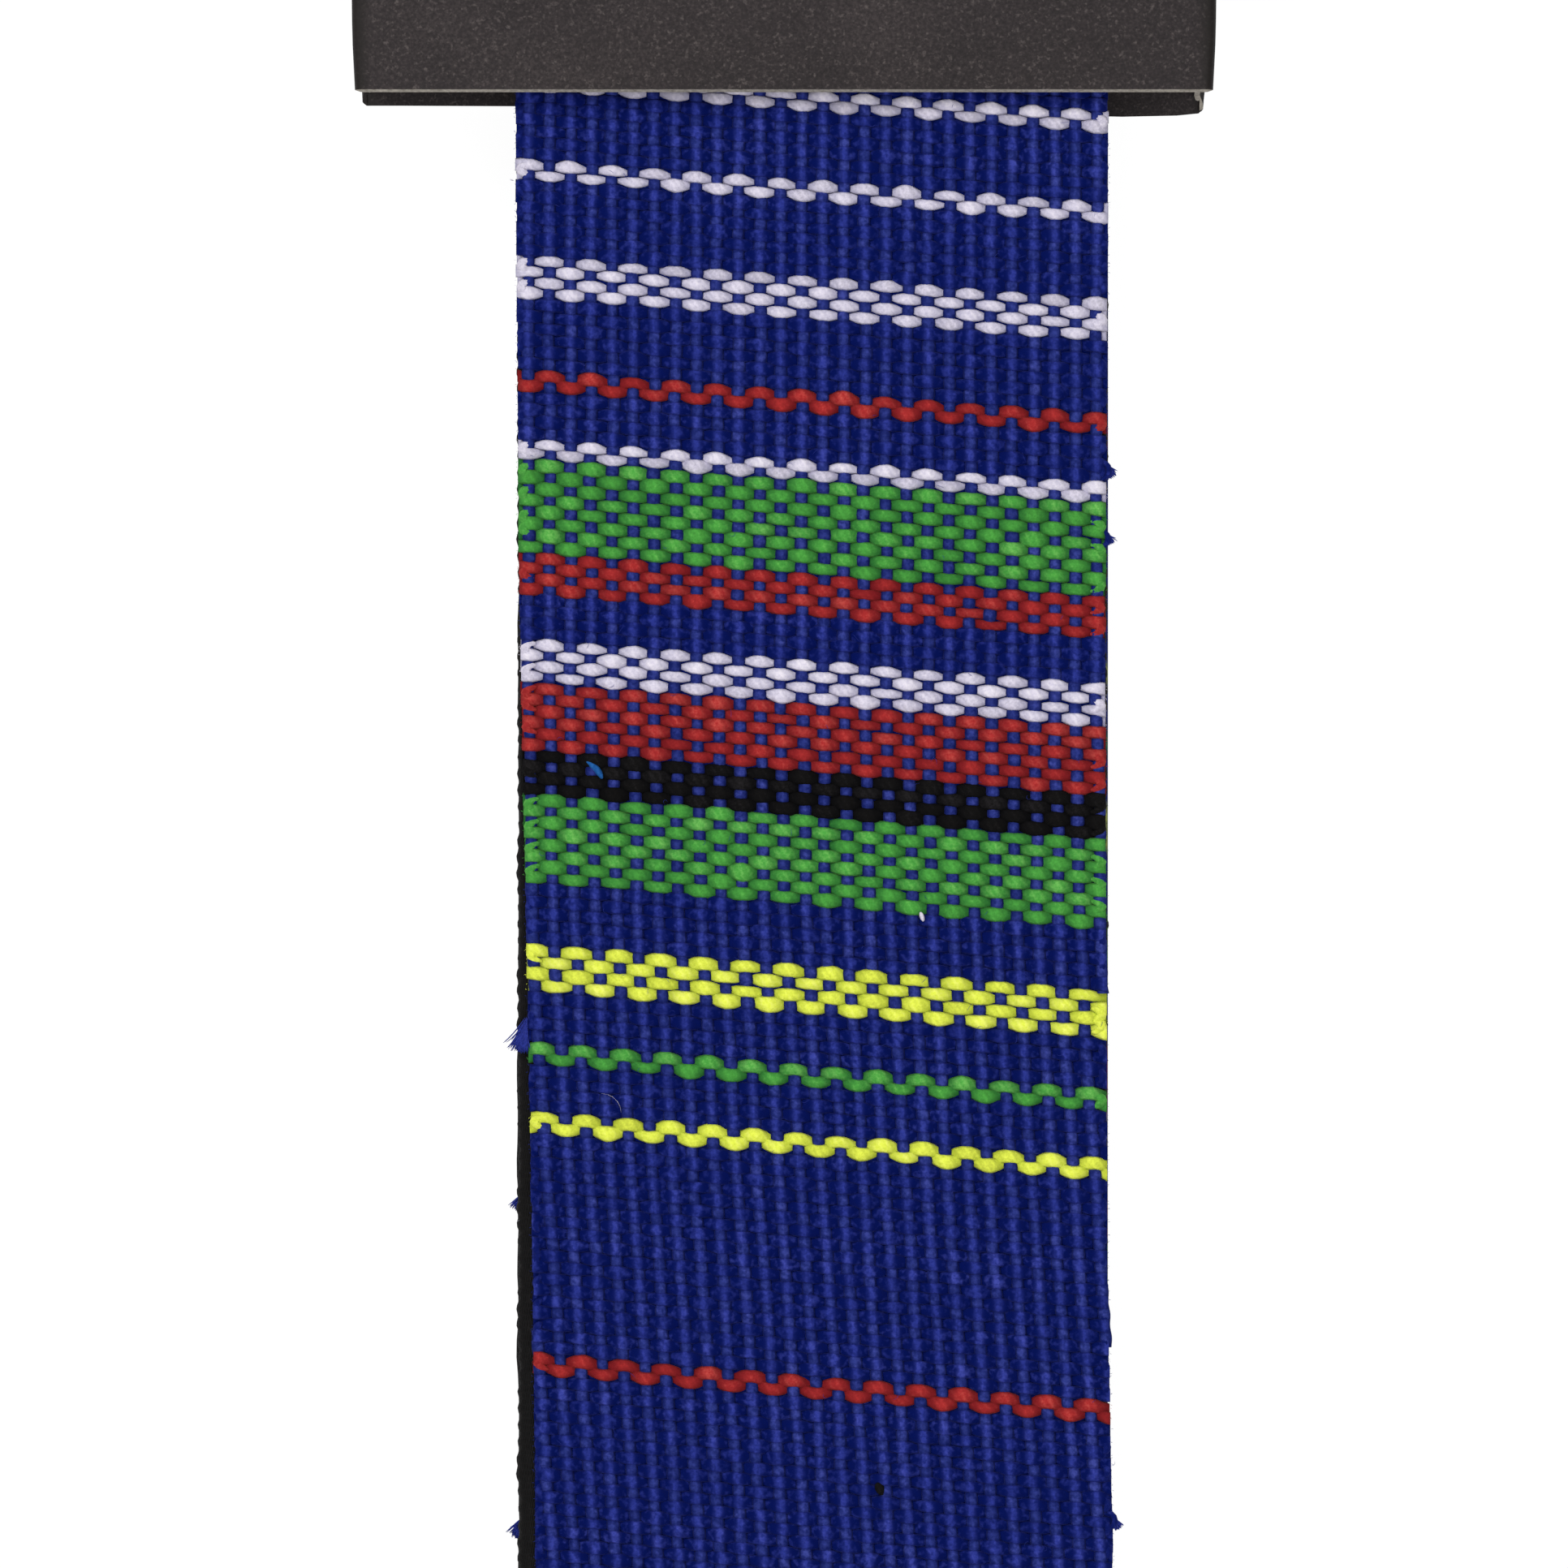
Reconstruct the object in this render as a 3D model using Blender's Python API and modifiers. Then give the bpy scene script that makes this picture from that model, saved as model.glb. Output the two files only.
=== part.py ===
"""A luggage strap, folded up and held in its card sleeve, with its side-release buckle closed.

The strap is a striped woven face on black webbing. It is sewn round the bar of the buckle's socket,
runs down out of the sleeve, goes up and down in pairs of plies, then runs back under the buckle,
turns over in a bight and threads the ladder of the plug. The pack lies on a flat surface: X is
across the strap, Y along it towards the buckle, Z up.
"""

import math

import bmesh
import bpy
from mathutils import Matrix, Vector

# Clearance between pieces that touch on the real strap
SEAT_GAP = 0.0003

# Strap: two layers, worn as one band
STRAP_WIDTH = 0.050
FACE_THICKNESS = 0.0008
BACKING_THICKNESS = 0.0008
FACE_TRIM = 0.0006
FACE_SHIFT = 0.0005
PLY_PAIRS = 3
HANG_LENGTH = 0.200
FOLD_STAGGER = 0.0016
TOP_FOLD_REACH = 0.030
STRAP_OFFSET = 0.0024

# How the hanging plies settle from the sleeve's level to the floor
SAG_START = 0.002
SAG_LENGTH = 0.058
ROUTE_STEP = 0.012
ARC_STEP = math.radians(18)
MERGE_DISTANCE = 1e-6

# Card sleeve
CARD_THICKNESS = 0.0005
SLEEVE_LENGTH = 0.050
SLEEVE_SIDE_ROOM = 0.00515
SLEEVE_HEADROOM = 0.0007
SLEEVE_FOLD_RADIUS = 0.0012

# Buckle body
BUCKLE_THICKNESS = 0.0116
SLOT_SIDE_ROOM = 0.001
RAIL_WIDTH = 0.005
BAR_EMBED = 0.001
EDGE_ROUND = 0.0010
EDGE_ROUND_STEPS = 2

# Socket
BAR_STANDOFF = 0.022
BAR_RADIUS = 0.0023
BAR_SIDES = 20
EAR_LENGTH = 0.0025
SOCKET_SLOT = 0.0075
SOCKET_END_WALL = 0.003
SOCKET_SKIN = 0.002
SOCKET_SIDE_WALL = 0.0034
CAVITY_DEPTH = 0.034
WINDOW_START = 0.019
WINDOW_LENGTH = 0.0123
SCALLOP_DEPTH = 0.0014
SCALLOP_RADIUS = 0.016
SCALLOP_SIDES = 64
GUIDE_RIB_WIDTH = 0.0016
GUIDE_RIB_HEIGHT = 0.0016
GUIDE_RIB_START = 0.008

# Plug
MOUTH_GAP = 0.0004
SHOULDER_LENGTH = 0.007
TONGUE_WIDTH = 0.012
TONGUE_LENGTH = 0.026
TONGUE_THICKNESS = 0.005
LADDER_SLOT = 0.0036
LADDER_BAR_WIDTH = 0.005
LADDER_BAR_HEIGHT = 0.0034
LADDER_BAR_ROUND = 0.0010
LADDER_RAIL_HEIGHT = 0.0068
LADDER_DROP = 0.0018

# Prongs, each hinged where it springs from the plug's shoulder
HINGE_SPREAD = 0.019
KNUCKLE_RADIUS = 0.0022
KNUCKLE_SET_BACK = 0.0016
KNUCKLE_SIDES = 24
ARM_WIDTH = 0.0026
ARM_SPLAY = 0.0026
HEAD_WIDTH = 0.0083
HEAD_PROUD = 0.0003
HEAD_PAD_LENGTH = 0.0067
HEAD_TIP_WIDTH = 0.0034
HEAD_TIP_INSET = 0.0045
HEAD_BACK_LENGTH = 0.0048
TIP_CLEARANCE = 0.0003

# Strap ends
FLAP_LENGTH = 0.030
FLAP_MEET = 0.014
FLAP_RUN = 0.004
RISE_START = 0.024
RISE_END = 0.038
BEND_RADIUS = 0.005
LADDER_BEND_RADIUS = 0.0014
BIGHT_STANDOFF = 0.041
TAIL_STANDOFF = 0.038
END_JOIN = 0.010

# Keeper and stitching
KEEPER_WIDTH = 0.012
KEEPER_THICKNESS = 0.0009
KEEPER_STANDOFF = 0.005
KEEPER_SIDE_ROOM = 0.0005
KEEPER_CORNER = 0.0014
THREAD_WIDTH = 0.0007
THREAD_HEIGHT = 0.0004
THREAD_GAP = 0.0001
BOX_STITCH_LENGTH = 0.013
BOX_STITCH_EDGE = 0.005
BOX_STITCH_STANDOFF = 0.0075
TAIL_STITCH_LENGTH = 0.005
TAIL_STITCH_STANDOFF = 0.0025
TACK_LENGTH = 0.0018
TACK_EDGE = 0.0012
TACK_HEIGHT = 0.0005

# Working values of the strap's plies
STRAP_THICKNESS = FACE_THICKNESS + SEAT_GAP + BACKING_THICKNESS
HALF_STRAP = STRAP_THICKNESS / 2
PLY_PITCH = STRAP_THICKNESS + SEAT_GAP
PLY_COUNT = 2 * PLY_PAIRS
PLY_BASE = CARD_THICKNESS + SEAT_GAP
BOTTOM_PLY = PLY_BASE + HALF_STRAP
TOP_PLY = BOTTOM_PLY + (PLY_COUNT - 1) * PLY_PITCH
FOLD_RADIUS = PLY_PITCH / 2
FACE_WIDTH = STRAP_WIDTH - FACE_TRIM

# Working values of the buckle, along the strap from the sleeve's lower edge
BUCKLE_BASE = PLY_BASE + STRAP_THICKNESS + SEAT_GAP
BUCKLE_MID = BUCKLE_BASE + BUCKLE_THICKNESS / 2
BUCKLE_TOP = BUCKLE_BASE + BUCKLE_THICKNESS
SLOT_WIDTH = STRAP_WIDTH + 2 * SLOT_SIDE_ROOM
BUCKLE_WIDTH = SLOT_WIDTH + 2 * RAIL_WIDTH
BAR_LENGTH = SLOT_WIDTH + 2 * BAR_EMBED
CORNER_RADIUS = RAIL_WIDTH - BAR_EMBED
BAR_ALONG = SLEEVE_LENGTH + BAR_STANDOFF
SOCKET_BACK = BAR_ALONG - EAR_LENGTH
SLOT_END = BAR_ALONG + BAR_RADIUS + SOCKET_SLOT
CAVITY_BACK = SLOT_END + SOCKET_END_WALL
MOUTH = CAVITY_BACK + CAVITY_DEPTH
CAVITY_HEIGHT = BUCKLE_THICKNESS - 2 * SOCKET_SKIN
CAVITY_WIDTH = BUCKLE_WIDTH - 2 * SOCKET_SIDE_WALL
SHOULDER_FACE = MOUTH + MOUTH_GAP
SHOULDER_BACK = SHOULDER_FACE + SHOULDER_LENGTH
INNER_SLOT = SHOULDER_BACK + LADDER_SLOT / 2
CENTRE_BAR = SHOULDER_BACK + LADDER_SLOT + LADDER_BAR_WIDTH / 2
OUTER_SLOT = CENTRE_BAR + LADDER_BAR_WIDTH / 2 + LADDER_SLOT / 2
END_BAR = OUTER_SLOT + LADDER_SLOT / 2 + LADDER_BAR_WIDTH / 2
PLUG_BACK = END_BAR + LADDER_BAR_WIDTH / 2
LADDER_MID = BUCKLE_MID - LADDER_DROP

# Heights of the strap where it goes round the bars
LOOP_RADIUS = BAR_RADIUS + SEAT_GAP + HALF_STRAP
LOOP_TOP = BUCKLE_MID + LOOP_RADIUS
LOOP_FOOT = BUCKLE_MID - LOOP_RADIUS
FLAP_HEIGHT = LOOP_TOP - PLY_PITCH
BAR_TO_STRAP = LADDER_BAR_HEIGHT / 2 + SEAT_GAP + HALF_STRAP
LOAD_HEIGHT = LADDER_MID + BAR_TO_STRAP
UNDER_HEIGHT = LADDER_MID - BAR_TO_STRAP
TAIL_HEIGHT = LOAD_HEIGHT + PLY_PITCH
BIGHT_RADIUS = (LOAD_HEIGHT - BOTTOM_PLY) / 2
BIGHT_ALONG = PLUG_BACK + BIGHT_STANDOFF
TAIL_END = PLUG_BACK + TAIL_STANDOFF
PACK_REACH = BIGHT_ALONG + HALF_STRAP

# The keeper goes round the tail and the strap below it
KEEPER_ALONG = PLUG_BACK + KEEPER_STANDOFF + KEEPER_WIDTH / 2
KEEPER_HOLE_WIDTH = STRAP_WIDTH + 2 * KEEPER_SIDE_ROOM
KEEPER_HOLE_HEIGHT = PLY_PITCH + STRAP_THICKNESS + 2 * SEAT_GAP
KEEPER_MID = (LOAD_HEIGHT + TAIL_HEIGHT) / 2
KEEPER_TOP = KEEPER_MID + KEEPER_HOLE_HEIGHT / 2 + KEEPER_THICKNESS

# The sleeve clears everything that it slides over
SLEEVE_WIDTH = BUCKLE_WIDTH + 2 * (SLEEVE_SIDE_ROOM + CARD_THICKNESS)
PACK_TOP = max(TOP_PLY + HALF_STRAP, BUCKLE_TOP, KEEPER_TOP + THREAD_GAP + TACK_HEIGHT)
SLEEVE_TOP = PACK_TOP + SLEEVE_HEADROOM + CARD_THICKNESS

# The middle of the pack's length is the origin
SLEEVE_EDGE_Y = (HANG_LENGTH - PACK_REACH) / 2

# Directions of an outline's own plane in the part
ACROSS_PLANE = (math.pi / 2, 0, math.pi / 2)
END_ON_PLANE = (math.pi / 2, 0, 0)
FLAT_PLANE = (0, 0, 0)


def clear_scene():
    for old in list(bpy.data.objects):
        bpy.data.objects.remove(old, do_unlink=True)


def make_collection(name):
    collection = bpy.data.collections.new(name)
    bpy.context.scene.collection.children.link(collection)
    return collection


clear_scene()
PARTS = make_collection("luggage_strap")
CUTTERS = make_collection("cutters")


def make_material(name, colour, roughness, sheen=0.0):
    material = bpy.data.materials.new(name)
    material.use_nodes = True
    shader = material.node_tree.nodes["Principled BSDF"]
    shader.inputs["Base Color"].default_value = (*colour, 1.0)
    shader.inputs["Roughness"].default_value = roughness
    shader.inputs["Metallic"].default_value = 0.0
    shader.inputs["Sheen Weight"].default_value = sheen
    return material


WOVEN_COTTON = make_material("woven_cotton", (0.018, 0.018, 0.22), 0.9, 0.3)
BLACK_WEBBING = make_material("black_webbing", (0.006, 0.005, 0.005), 0.8, 0.1)
BLACK_CARD = make_material("black_card", (0.045, 0.037, 0.037), 0.85)
BUCKLE_PLASTIC = make_material("buckle_plastic", (0.012, 0.012, 0.013), 0.45)
BLACK_ELASTIC = make_material("black_elastic", (0.009, 0.009, 0.010), 0.75)
BLACK_THREAD = make_material("black_thread", (0.015, 0.015, 0.016), 0.7)


def place(name, data, collection, parent=None, location=(0, 0, 0), rotation=FLAT_PLANE):
    item = bpy.data.objects.new(name, data)
    collection.objects.link(item)
    item.parent = parent
    item.location = location
    item.rotation_euler = rotation
    return item


def make_empty(name, parent, location):
    empty = place(name, None, PARTS, parent, location)
    empty.empty_display_size = STRAP_WIDTH / 4
    return empty


def finish(item, material):
    item.data.materials.clear()
    item.data.materials.append(material)
    return item


def flat_curve(name, outlines, depth):
    """A flat outline, with any holes in it, as a plate of the given depth."""
    curve = bpy.data.curves.new(name, "CURVE")
    curve.dimensions = "2D"
    curve.fill_mode = "BOTH"
    curve.extrude = depth / 2
    for outline in outlines:
        spline = curve.splines.new("POLY")
        spline.points.add(len(outline) - 1)
        for point, (across, along) in zip(spline.points, outline):
            point.co = (across, along, 0, 1)
        spline.use_cyclic_u = True
    return curve


def as_mesh(item):
    """The same piece as a closed mesh, for cutting and joining."""
    bpy.context.view_layer.update()
    evaluated = item.evaluated_get(bpy.context.evaluated_depsgraph_get())
    mesh = bpy.data.meshes.new_from_object(evaluated)
    shape = bmesh.new()
    shape.from_mesh(mesh)
    bmesh.ops.remove_doubles(shape, verts=shape.verts, dist=MERGE_DISTANCE)
    bmesh.ops.dissolve_limit(shape, angle_limit=math.radians(1), verts=shape.verts, edges=shape.edges)
    bmesh.ops.recalc_face_normals(shape, faces=shape.faces)
    shape.to_mesh(mesh)
    shape.free()
    name = item.name
    curve = item.data
    solid = place(name + "_solid", mesh, PARTS, item.parent, item.location, item.rotation_euler)
    bpy.data.objects.remove(item)
    bpy.data.curves.remove(curve)
    solid.name = name
    return solid


def box(name, low, high, parent):
    """A cutter or an added block, from its low and high corners in its parent's frame."""
    low = Vector(low)
    high = Vector(high)
    shape = bmesh.new()
    bmesh.ops.create_cube(shape, size=1, matrix=Matrix.Diagonal((*(high - low), 1)))
    mesh = bpy.data.meshes.new(name)
    shape.to_mesh(mesh)
    shape.free()
    return place(name, mesh, CUTTERS, parent, (low + high) / 2)


def cylinder(name, radius, length, sides, parent, location, rotation=FLAT_PLANE):
    shape = bmesh.new()
    bmesh.ops.create_cone(shape, cap_ends=True, segments=sides, radius1=radius, radius2=radius, depth=length)
    mesh = bpy.data.meshes.new(name)
    shape.to_mesh(mesh)
    shape.free()
    return place(name, mesh, CUTTERS, parent, location, rotation)


def combine(item, tool, operation):
    tool.hide_render = True
    tool.display_type = "WIRE"
    step = item.modifiers.new(tool.name, "BOOLEAN")
    step.operation = operation
    step.object = tool
    return item


def cut(item, tool):
    return combine(item, tool, "DIFFERENCE")


def join(item, tool):
    return combine(item, tool, "UNION")


def round_edges(item):
    step = item.modifiers.new("rounded_edges", "BEVEL")
    step.limit_method = "ANGLE"
    step.angle_limit = math.radians(60)
    step.width = EDGE_ROUND
    step.segments = EDGE_ROUND_STEPS
    return item


def rounded_corner(before, corner, after, radius):
    """Points of the arc that rounds one corner, from the run before it to the run after it."""
    into = (corner - before).normalized()
    away = (after - corner).normalized()
    turn = math.atan2(into.x * away.y - into.y * away.x, into.dot(away))
    start = corner - into * radius * math.tan(abs(turn) / 2)
    inward = Vector((-into.y, into.x)) * math.copysign(1, turn)
    centre = start + inward * radius
    steps = max(2, math.ceil(abs(turn) / ARC_STEP))
    arc = []
    for step in range(steps + 1):
        spoke = (start - centre).copy()
        spoke.rotate(Matrix.Rotation(turn * step / steps, 2))
        arc.append(centre + spoke)
    return arc


def rounded_route(corners):
    """An open route through corners of (along, height, bend radius); its ends have no bend."""
    spots = [Vector(corner[:2]) for corner in corners]
    route = [spots[0]]
    for index in range(1, len(corners) - 1):
        route += rounded_corner(spots[index - 1], spots[index], spots[index + 1], corners[index][2])
    route.append(spots[-1])
    return route


def rounded_outline(corners, radius):
    """A closed outline whose corners all have the same radius."""
    spots = [Vector(corner) for corner in corners]
    outline = []
    for index, spot in enumerate(spots):
        after = spots[(index + 1) % len(spots)]
        outline += rounded_corner(spots[index - 1], spot, after, radius)
    return outline


def rectangle(width, height):
    return [
        (-width / 2, -height / 2),
        (width / 2, -height / 2),
        (width / 2, height / 2),
        (-width / 2, height / 2),
    ]


def stepped(route):
    """The same route with points added along its long straight runs."""
    points = [route[0]]
    for start, end in zip(route, route[1:]):
        length = (end - start).length
        steps = math.ceil(length / ROUTE_STEP) if length > MERGE_DISTANCE else 0
        points += [start.lerp(end, step / steps) for step in range(1, steps + 1)]
    return points


def settled(route):
    """The route lowered smoothly onto the floor where it hangs out of the sleeve."""
    lowered = []
    for point in route:
        share = min(1, max(0, (-point.x - SAG_START) / SAG_LENGTH))
        drop = PLY_BASE * share * share * (3 - 2 * share)
        lowered.append(Vector((point.x, point.y - drop)))
    return lowered


def offset_route(route, distance):
    """The route moved to its right-hand side, which is the strap's face side."""
    moved = []
    for index, point in enumerate(route):
        into = (point - route[index - 1]).normalized() if index else None
        away = (route[index + 1] - point).normalized() if index + 1 < len(route) else None
        into = into or away
        away = away or into
        along = (into + away).normalized()
        side = Vector((along.y, -along.x))
        moved.append(point + side * distance / along.dot(into))
    return moved


def layer_outline(route, near, far):
    return offset_route(route, near) + offset_route(route, far)[::-1]


def strap_layers(route, face_name, backing_name, parent, along):
    """The woven face and the webbing behind it, along one route."""
    near = SEAT_GAP / 2
    face_outline = layer_outline(route, near, near + FACE_THICKNESS)
    backing_outline = layer_outline(route, -near - BACKING_THICKNESS, -near)
    face = flat_curve(face_name, [face_outline], FACE_WIDTH)
    backing = flat_curve(backing_name, [backing_outline], STRAP_WIDTH)
    spot = Vector((0, along, 0))
    sideways = Vector((FACE_SHIFT, 0, 0))
    finish(place(face_name, face, PARTS, parent, spot + sideways, ACROSS_PLANE), WOVEN_COTTON)
    finish(place(backing_name, backing, PARTS, parent, spot, ACROSS_PLANE), BLACK_WEBBING)


def ply_height(level):
    return BOTTOM_PLY + level * PLY_PITCH


def pack_corners():
    """Corners of the folded strap, from its sewn end at the socket to the last ply."""
    loop = BAR_ALONG + LOOP_RADIUS
    corners = [
        (BAR_ALONG - FLAP_LENGTH, FLAP_HEIGHT, 0),
        (BAR_ALONG - FLAP_MEET, FLAP_HEIGHT, BEND_RADIUS),
        (BAR_ALONG - FLAP_RUN, LOOP_FOOT, BEND_RADIUS),
        (loop, LOOP_FOOT, LOOP_RADIUS),
        (loop, LOOP_TOP, LOOP_RADIUS),
        (BAR_ALONG - RISE_START, LOOP_TOP, BEND_RADIUS),
        (BAR_ALONG - RISE_END, TOP_PLY, BEND_RADIUS),
    ]
    for pair in range(PLY_PAIRS):
        upper = PLY_COUNT - 1 - 2 * pair
        bottom_fold = -HANG_LENGTH + HALF_STRAP + (pair % 2) * FOLD_STAGGER
        corners.append((bottom_fold, ply_height(upper), FOLD_RADIUS))
        corners.append((bottom_fold, ply_height(upper - 1), FOLD_RADIUS))
        if pair + 1 < PLY_PAIRS:
            top_fold = TOP_FOLD_REACH - HALF_STRAP - (pair % 2) * FOLD_STAGGER
            corners.append((top_fold, ply_height(upper - 1), FOLD_RADIUS))
            corners.append((top_fold, ply_height(upper - 2), FOLD_RADIUS))
    corners.append((END_JOIN - SEAT_GAP, BOTTOM_PLY, 0))
    return corners


def end_corners():
    """Corners of the strap's other end, from under the sleeve to the free tail."""
    return [
        (END_JOIN, BOTTOM_PLY, 0),
        (BIGHT_ALONG, BOTTOM_PLY, BIGHT_RADIUS),
        (BIGHT_ALONG, LOAD_HEIGHT, BIGHT_RADIUS),
        (OUTER_SLOT, LOAD_HEIGHT, LADDER_BEND_RADIUS),
        (OUTER_SLOT, UNDER_HEIGHT, LADDER_BEND_RADIUS),
        (INNER_SLOT, UNDER_HEIGHT, LADDER_BEND_RADIUS),
        (INNER_SLOT, TAIL_HEIGHT, LADDER_BEND_RADIUS),
        (TAIL_END, TAIL_HEIGHT, 0),
    ]


def make_strap(pack):
    route = settled(stepped(rounded_route(pack_corners())))
    strap_layers(route, "woven_face", "backing_webbing", pack, 0)


def make_strap_end(plug_frame):
    """The end that is drawn out with the plug, in the plug's own frame."""
    route = [point - Vector((0, BUCKLE_MID)) for point in stepped(rounded_route(end_corners()))]
    strap_layers(route, "end_face", "end_backing", plug_frame, -MOUTH)


def make_sleeve(sleeve_frame):
    outer = rounded_outline(rectangle(SLEEVE_WIDTH, SLEEVE_TOP), SLEEVE_FOLD_RADIUS)
    hole = rectangle(SLEEVE_WIDTH - 2 * CARD_THICKNESS, SLEEVE_TOP - 2 * CARD_THICKNESS)
    inner = rounded_outline(hole, SLEEVE_FOLD_RADIUS - CARD_THICKNESS)
    wrap = flat_curve("card_sleeve", [outer, inner], SLEEVE_LENGTH)
    finish(place("card_sleeve", wrap, PARTS, sleeve_frame, (0, 0, 0), END_ON_PLANE), BLACK_CARD)


def plan_block(name, back, front, height, parent):
    """A block of the buckle with rounded corners in plan and eased edges."""
    corners = rectangle(BUCKLE_WIDTH, front - back)
    plate = flat_curve(name, [rounded_outline(corners, CORNER_RADIUS)], height)
    spot = (0, (front + back) / 2, 0)
    return round_edges(as_mesh(place(name, plate, PARTS, parent, spot)))


def make_socket(socket_frame):
    """The half that the strap is sewn to; its frame is at the mouth, half way up."""
    half_slot = SLOT_WIDTH / 2
    half_cavity = CAVITY_WIDTH / 2
    half_height = CAVITY_HEIGHT / 2
    clear = BUCKLE_THICKNESS
    back = SOCKET_BACK - MOUTH
    cavity_back = -CAVITY_DEPTH
    socket = plan_block("buckle_socket", back, 0, BUCKLE_THICKNESS, socket_frame)

    low = (-half_slot, back - clear, -clear)
    high = (half_slot, SLOT_END - MOUTH, clear)
    cut(socket, box("strap_slot", low, high, socket_frame))

    low = (-half_cavity, cavity_back, -half_height)
    high = (half_cavity, clear, half_height)
    cut(socket, box("socket_cavity", low, high, socket_frame))

    low = (-BUCKLE_WIDTH, -WINDOW_START - WINDOW_LENGTH, -half_height)
    high = (BUCKLE_WIDTH, -WINDOW_START, half_height)
    cut(socket, box("prong_windows", low, high, socket_frame))

    for side in (-1, 1):
        across = side * (BUCKLE_WIDTH / 2 - SCALLOP_DEPTH + SCALLOP_RADIUS)
        spot = (across, -WINDOW_START - WINDOW_LENGTH / 2, 0)
        scallop = f"finger_scallop_{side}"
        cut(socket, cylinder(scallop, SCALLOP_RADIUS, 2 * clear, SCALLOP_SIDES, socket_frame, spot))

    spot = (0, BAR_ALONG - MOUTH, 0)
    bar = cylinder("strap_bar", BAR_RADIUS, BAR_LENGTH, BAR_SIDES, socket_frame, spot, (0, math.pi / 2, 0))
    join(socket, bar)

    rib_inside = TONGUE_WIDTH / 2 + SEAT_GAP
    embed = SOCKET_SKIN / 2
    for side in (-1, 1):
        for level in (-1, 1):
            across = sorted((side * rib_inside, side * (rib_inside + GUIDE_RIB_WIDTH)))
            height = sorted((level * (half_height - GUIDE_RIB_HEIGHT), level * (half_height + embed)))
            low = (across[0], cavity_back - embed, height[0])
            high = (across[1], -GUIDE_RIB_START, height[1])
            join(socket, box(f"guide_rib_{side}_{level}", low, high, socket_frame))
    finish(socket, BUCKLE_PLASTIC)


def ladder_bar(name, along, plug_frame):
    section = rounded_outline(rectangle(LADDER_BAR_WIDTH, LADDER_BAR_HEIGHT), LADDER_BAR_ROUND)
    plate = flat_curve(name, [section], BAR_LENGTH)
    rough = place(name, plate, PARTS, plug_frame, (0, along - MOUTH, -LADDER_DROP), ACROSS_PLANE)
    bar = as_mesh(rough)
    PARTS.objects.unlink(bar)
    CUTTERS.objects.link(bar)
    return bar


def make_plug(plug_frame):
    """The half that slides in; its frame is at the socket's mouth, half way up."""
    half_slot = SLOT_WIDTH / 2
    half_rail = LADDER_RAIL_HEIGHT / 2
    clear = BUCKLE_THICKNESS
    shoulder_face = MOUTH_GAP
    shoulder_back = SHOULDER_BACK - MOUTH
    plug = plan_block("buckle_plug", shoulder_face, PLUG_BACK - MOUTH, BUCKLE_THICKNESS, plug_frame)

    low = (-BUCKLE_WIDTH, shoulder_back, -LADDER_DROP + half_rail)
    high = (BUCKLE_WIDTH, PLUG_BACK, clear)
    cut(plug, box("above_rails", low, high, plug_frame))

    low = (-BUCKLE_WIDTH, shoulder_back, -clear)
    high = (BUCKLE_WIDTH, PLUG_BACK, -LADDER_DROP - half_rail)
    cut(plug, box("below_rails", low, high, plug_frame))

    low = (-half_slot, shoulder_back, -clear)
    high = (half_slot, PLUG_BACK, clear)
    cut(plug, box("ladder_gap", low, high, plug_frame))

    half_tongue = TONGUE_WIDTH / 2
    half_thick = TONGUE_THICKNESS / 2
    low = (-half_tongue, -TONGUE_LENGTH, -half_thick)
    high = (half_tongue, shoulder_face + SHOULDER_LENGTH / 2, half_thick)
    join(plug, box("tongue", low, high, plug_frame))
    join(plug, ladder_bar("centre_bar", CENTRE_BAR, plug_frame))
    join(plug, ladder_bar("end_bar", END_BAR, plug_frame))

    for side in (-1, 1):
        spot = (side * HINGE_SPREAD, shoulder_face + KNUCKLE_SET_BACK, 0)
        radius = KNUCKLE_RADIUS + SEAT_GAP
        pocket = f"knuckle_pocket_{side}"
        cut(plug, cylinder(pocket, radius, CAVITY_HEIGHT, KNUCKLE_SIDES, plug_frame, spot))
    finish(plug, BUCKLE_PLASTIC)


def prong_outline(side):
    """Plan of one prong from its hinge: an arm that splays out to a head with a latch shoulder."""
    base = MOUTH_GAP + KNUCKLE_SET_BACK
    latch = -(WINDOW_START + SEAT_GAP) - base
    tip = -(WINDOW_START + WINDOW_LENGTH - TIP_CLEARANCE) - base
    head_side = BUCKLE_WIDTH / 2 + HEAD_PROUD - HINGE_SPREAD
    head_inside = head_side - HEAD_WIDTH
    half_arm = ARM_WIDTH / 2
    tip_side = head_side - HEAD_TIP_INSET
    outline = [
        (half_arm, 0),
        (half_arm + ARM_SPLAY, latch),
        (head_side, latch),
        (head_side, latch - HEAD_PAD_LENGTH),
        (tip_side, tip),
        (tip_side - HEAD_TIP_WIDTH, tip),
        (head_inside - half_arm, latch - HEAD_BACK_LENGTH),
        (ARM_SPLAY - half_arm, latch),
        (-half_arm, 0),
    ]
    points = [(side * across, along) for across, along in outline]
    return points if side < 0 else points[::-1]


def make_prong(name, side, plug_frame):
    height = CAVITY_HEIGHT - 2 * SEAT_GAP
    spot = (side * HINGE_SPREAD, MOUTH_GAP + KNUCKLE_SET_BACK, 0)
    plate = flat_curve(name, [prong_outline(side)], height)
    prong = as_mesh(place(name, plate, PARTS, plug_frame, spot))
    join(prong, cylinder(name + "_knuckle", KNUCKLE_RADIUS, height, KNUCKLE_SIDES, plug_frame, spot))
    finish(prong, BUCKLE_PLASTIC)


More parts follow.
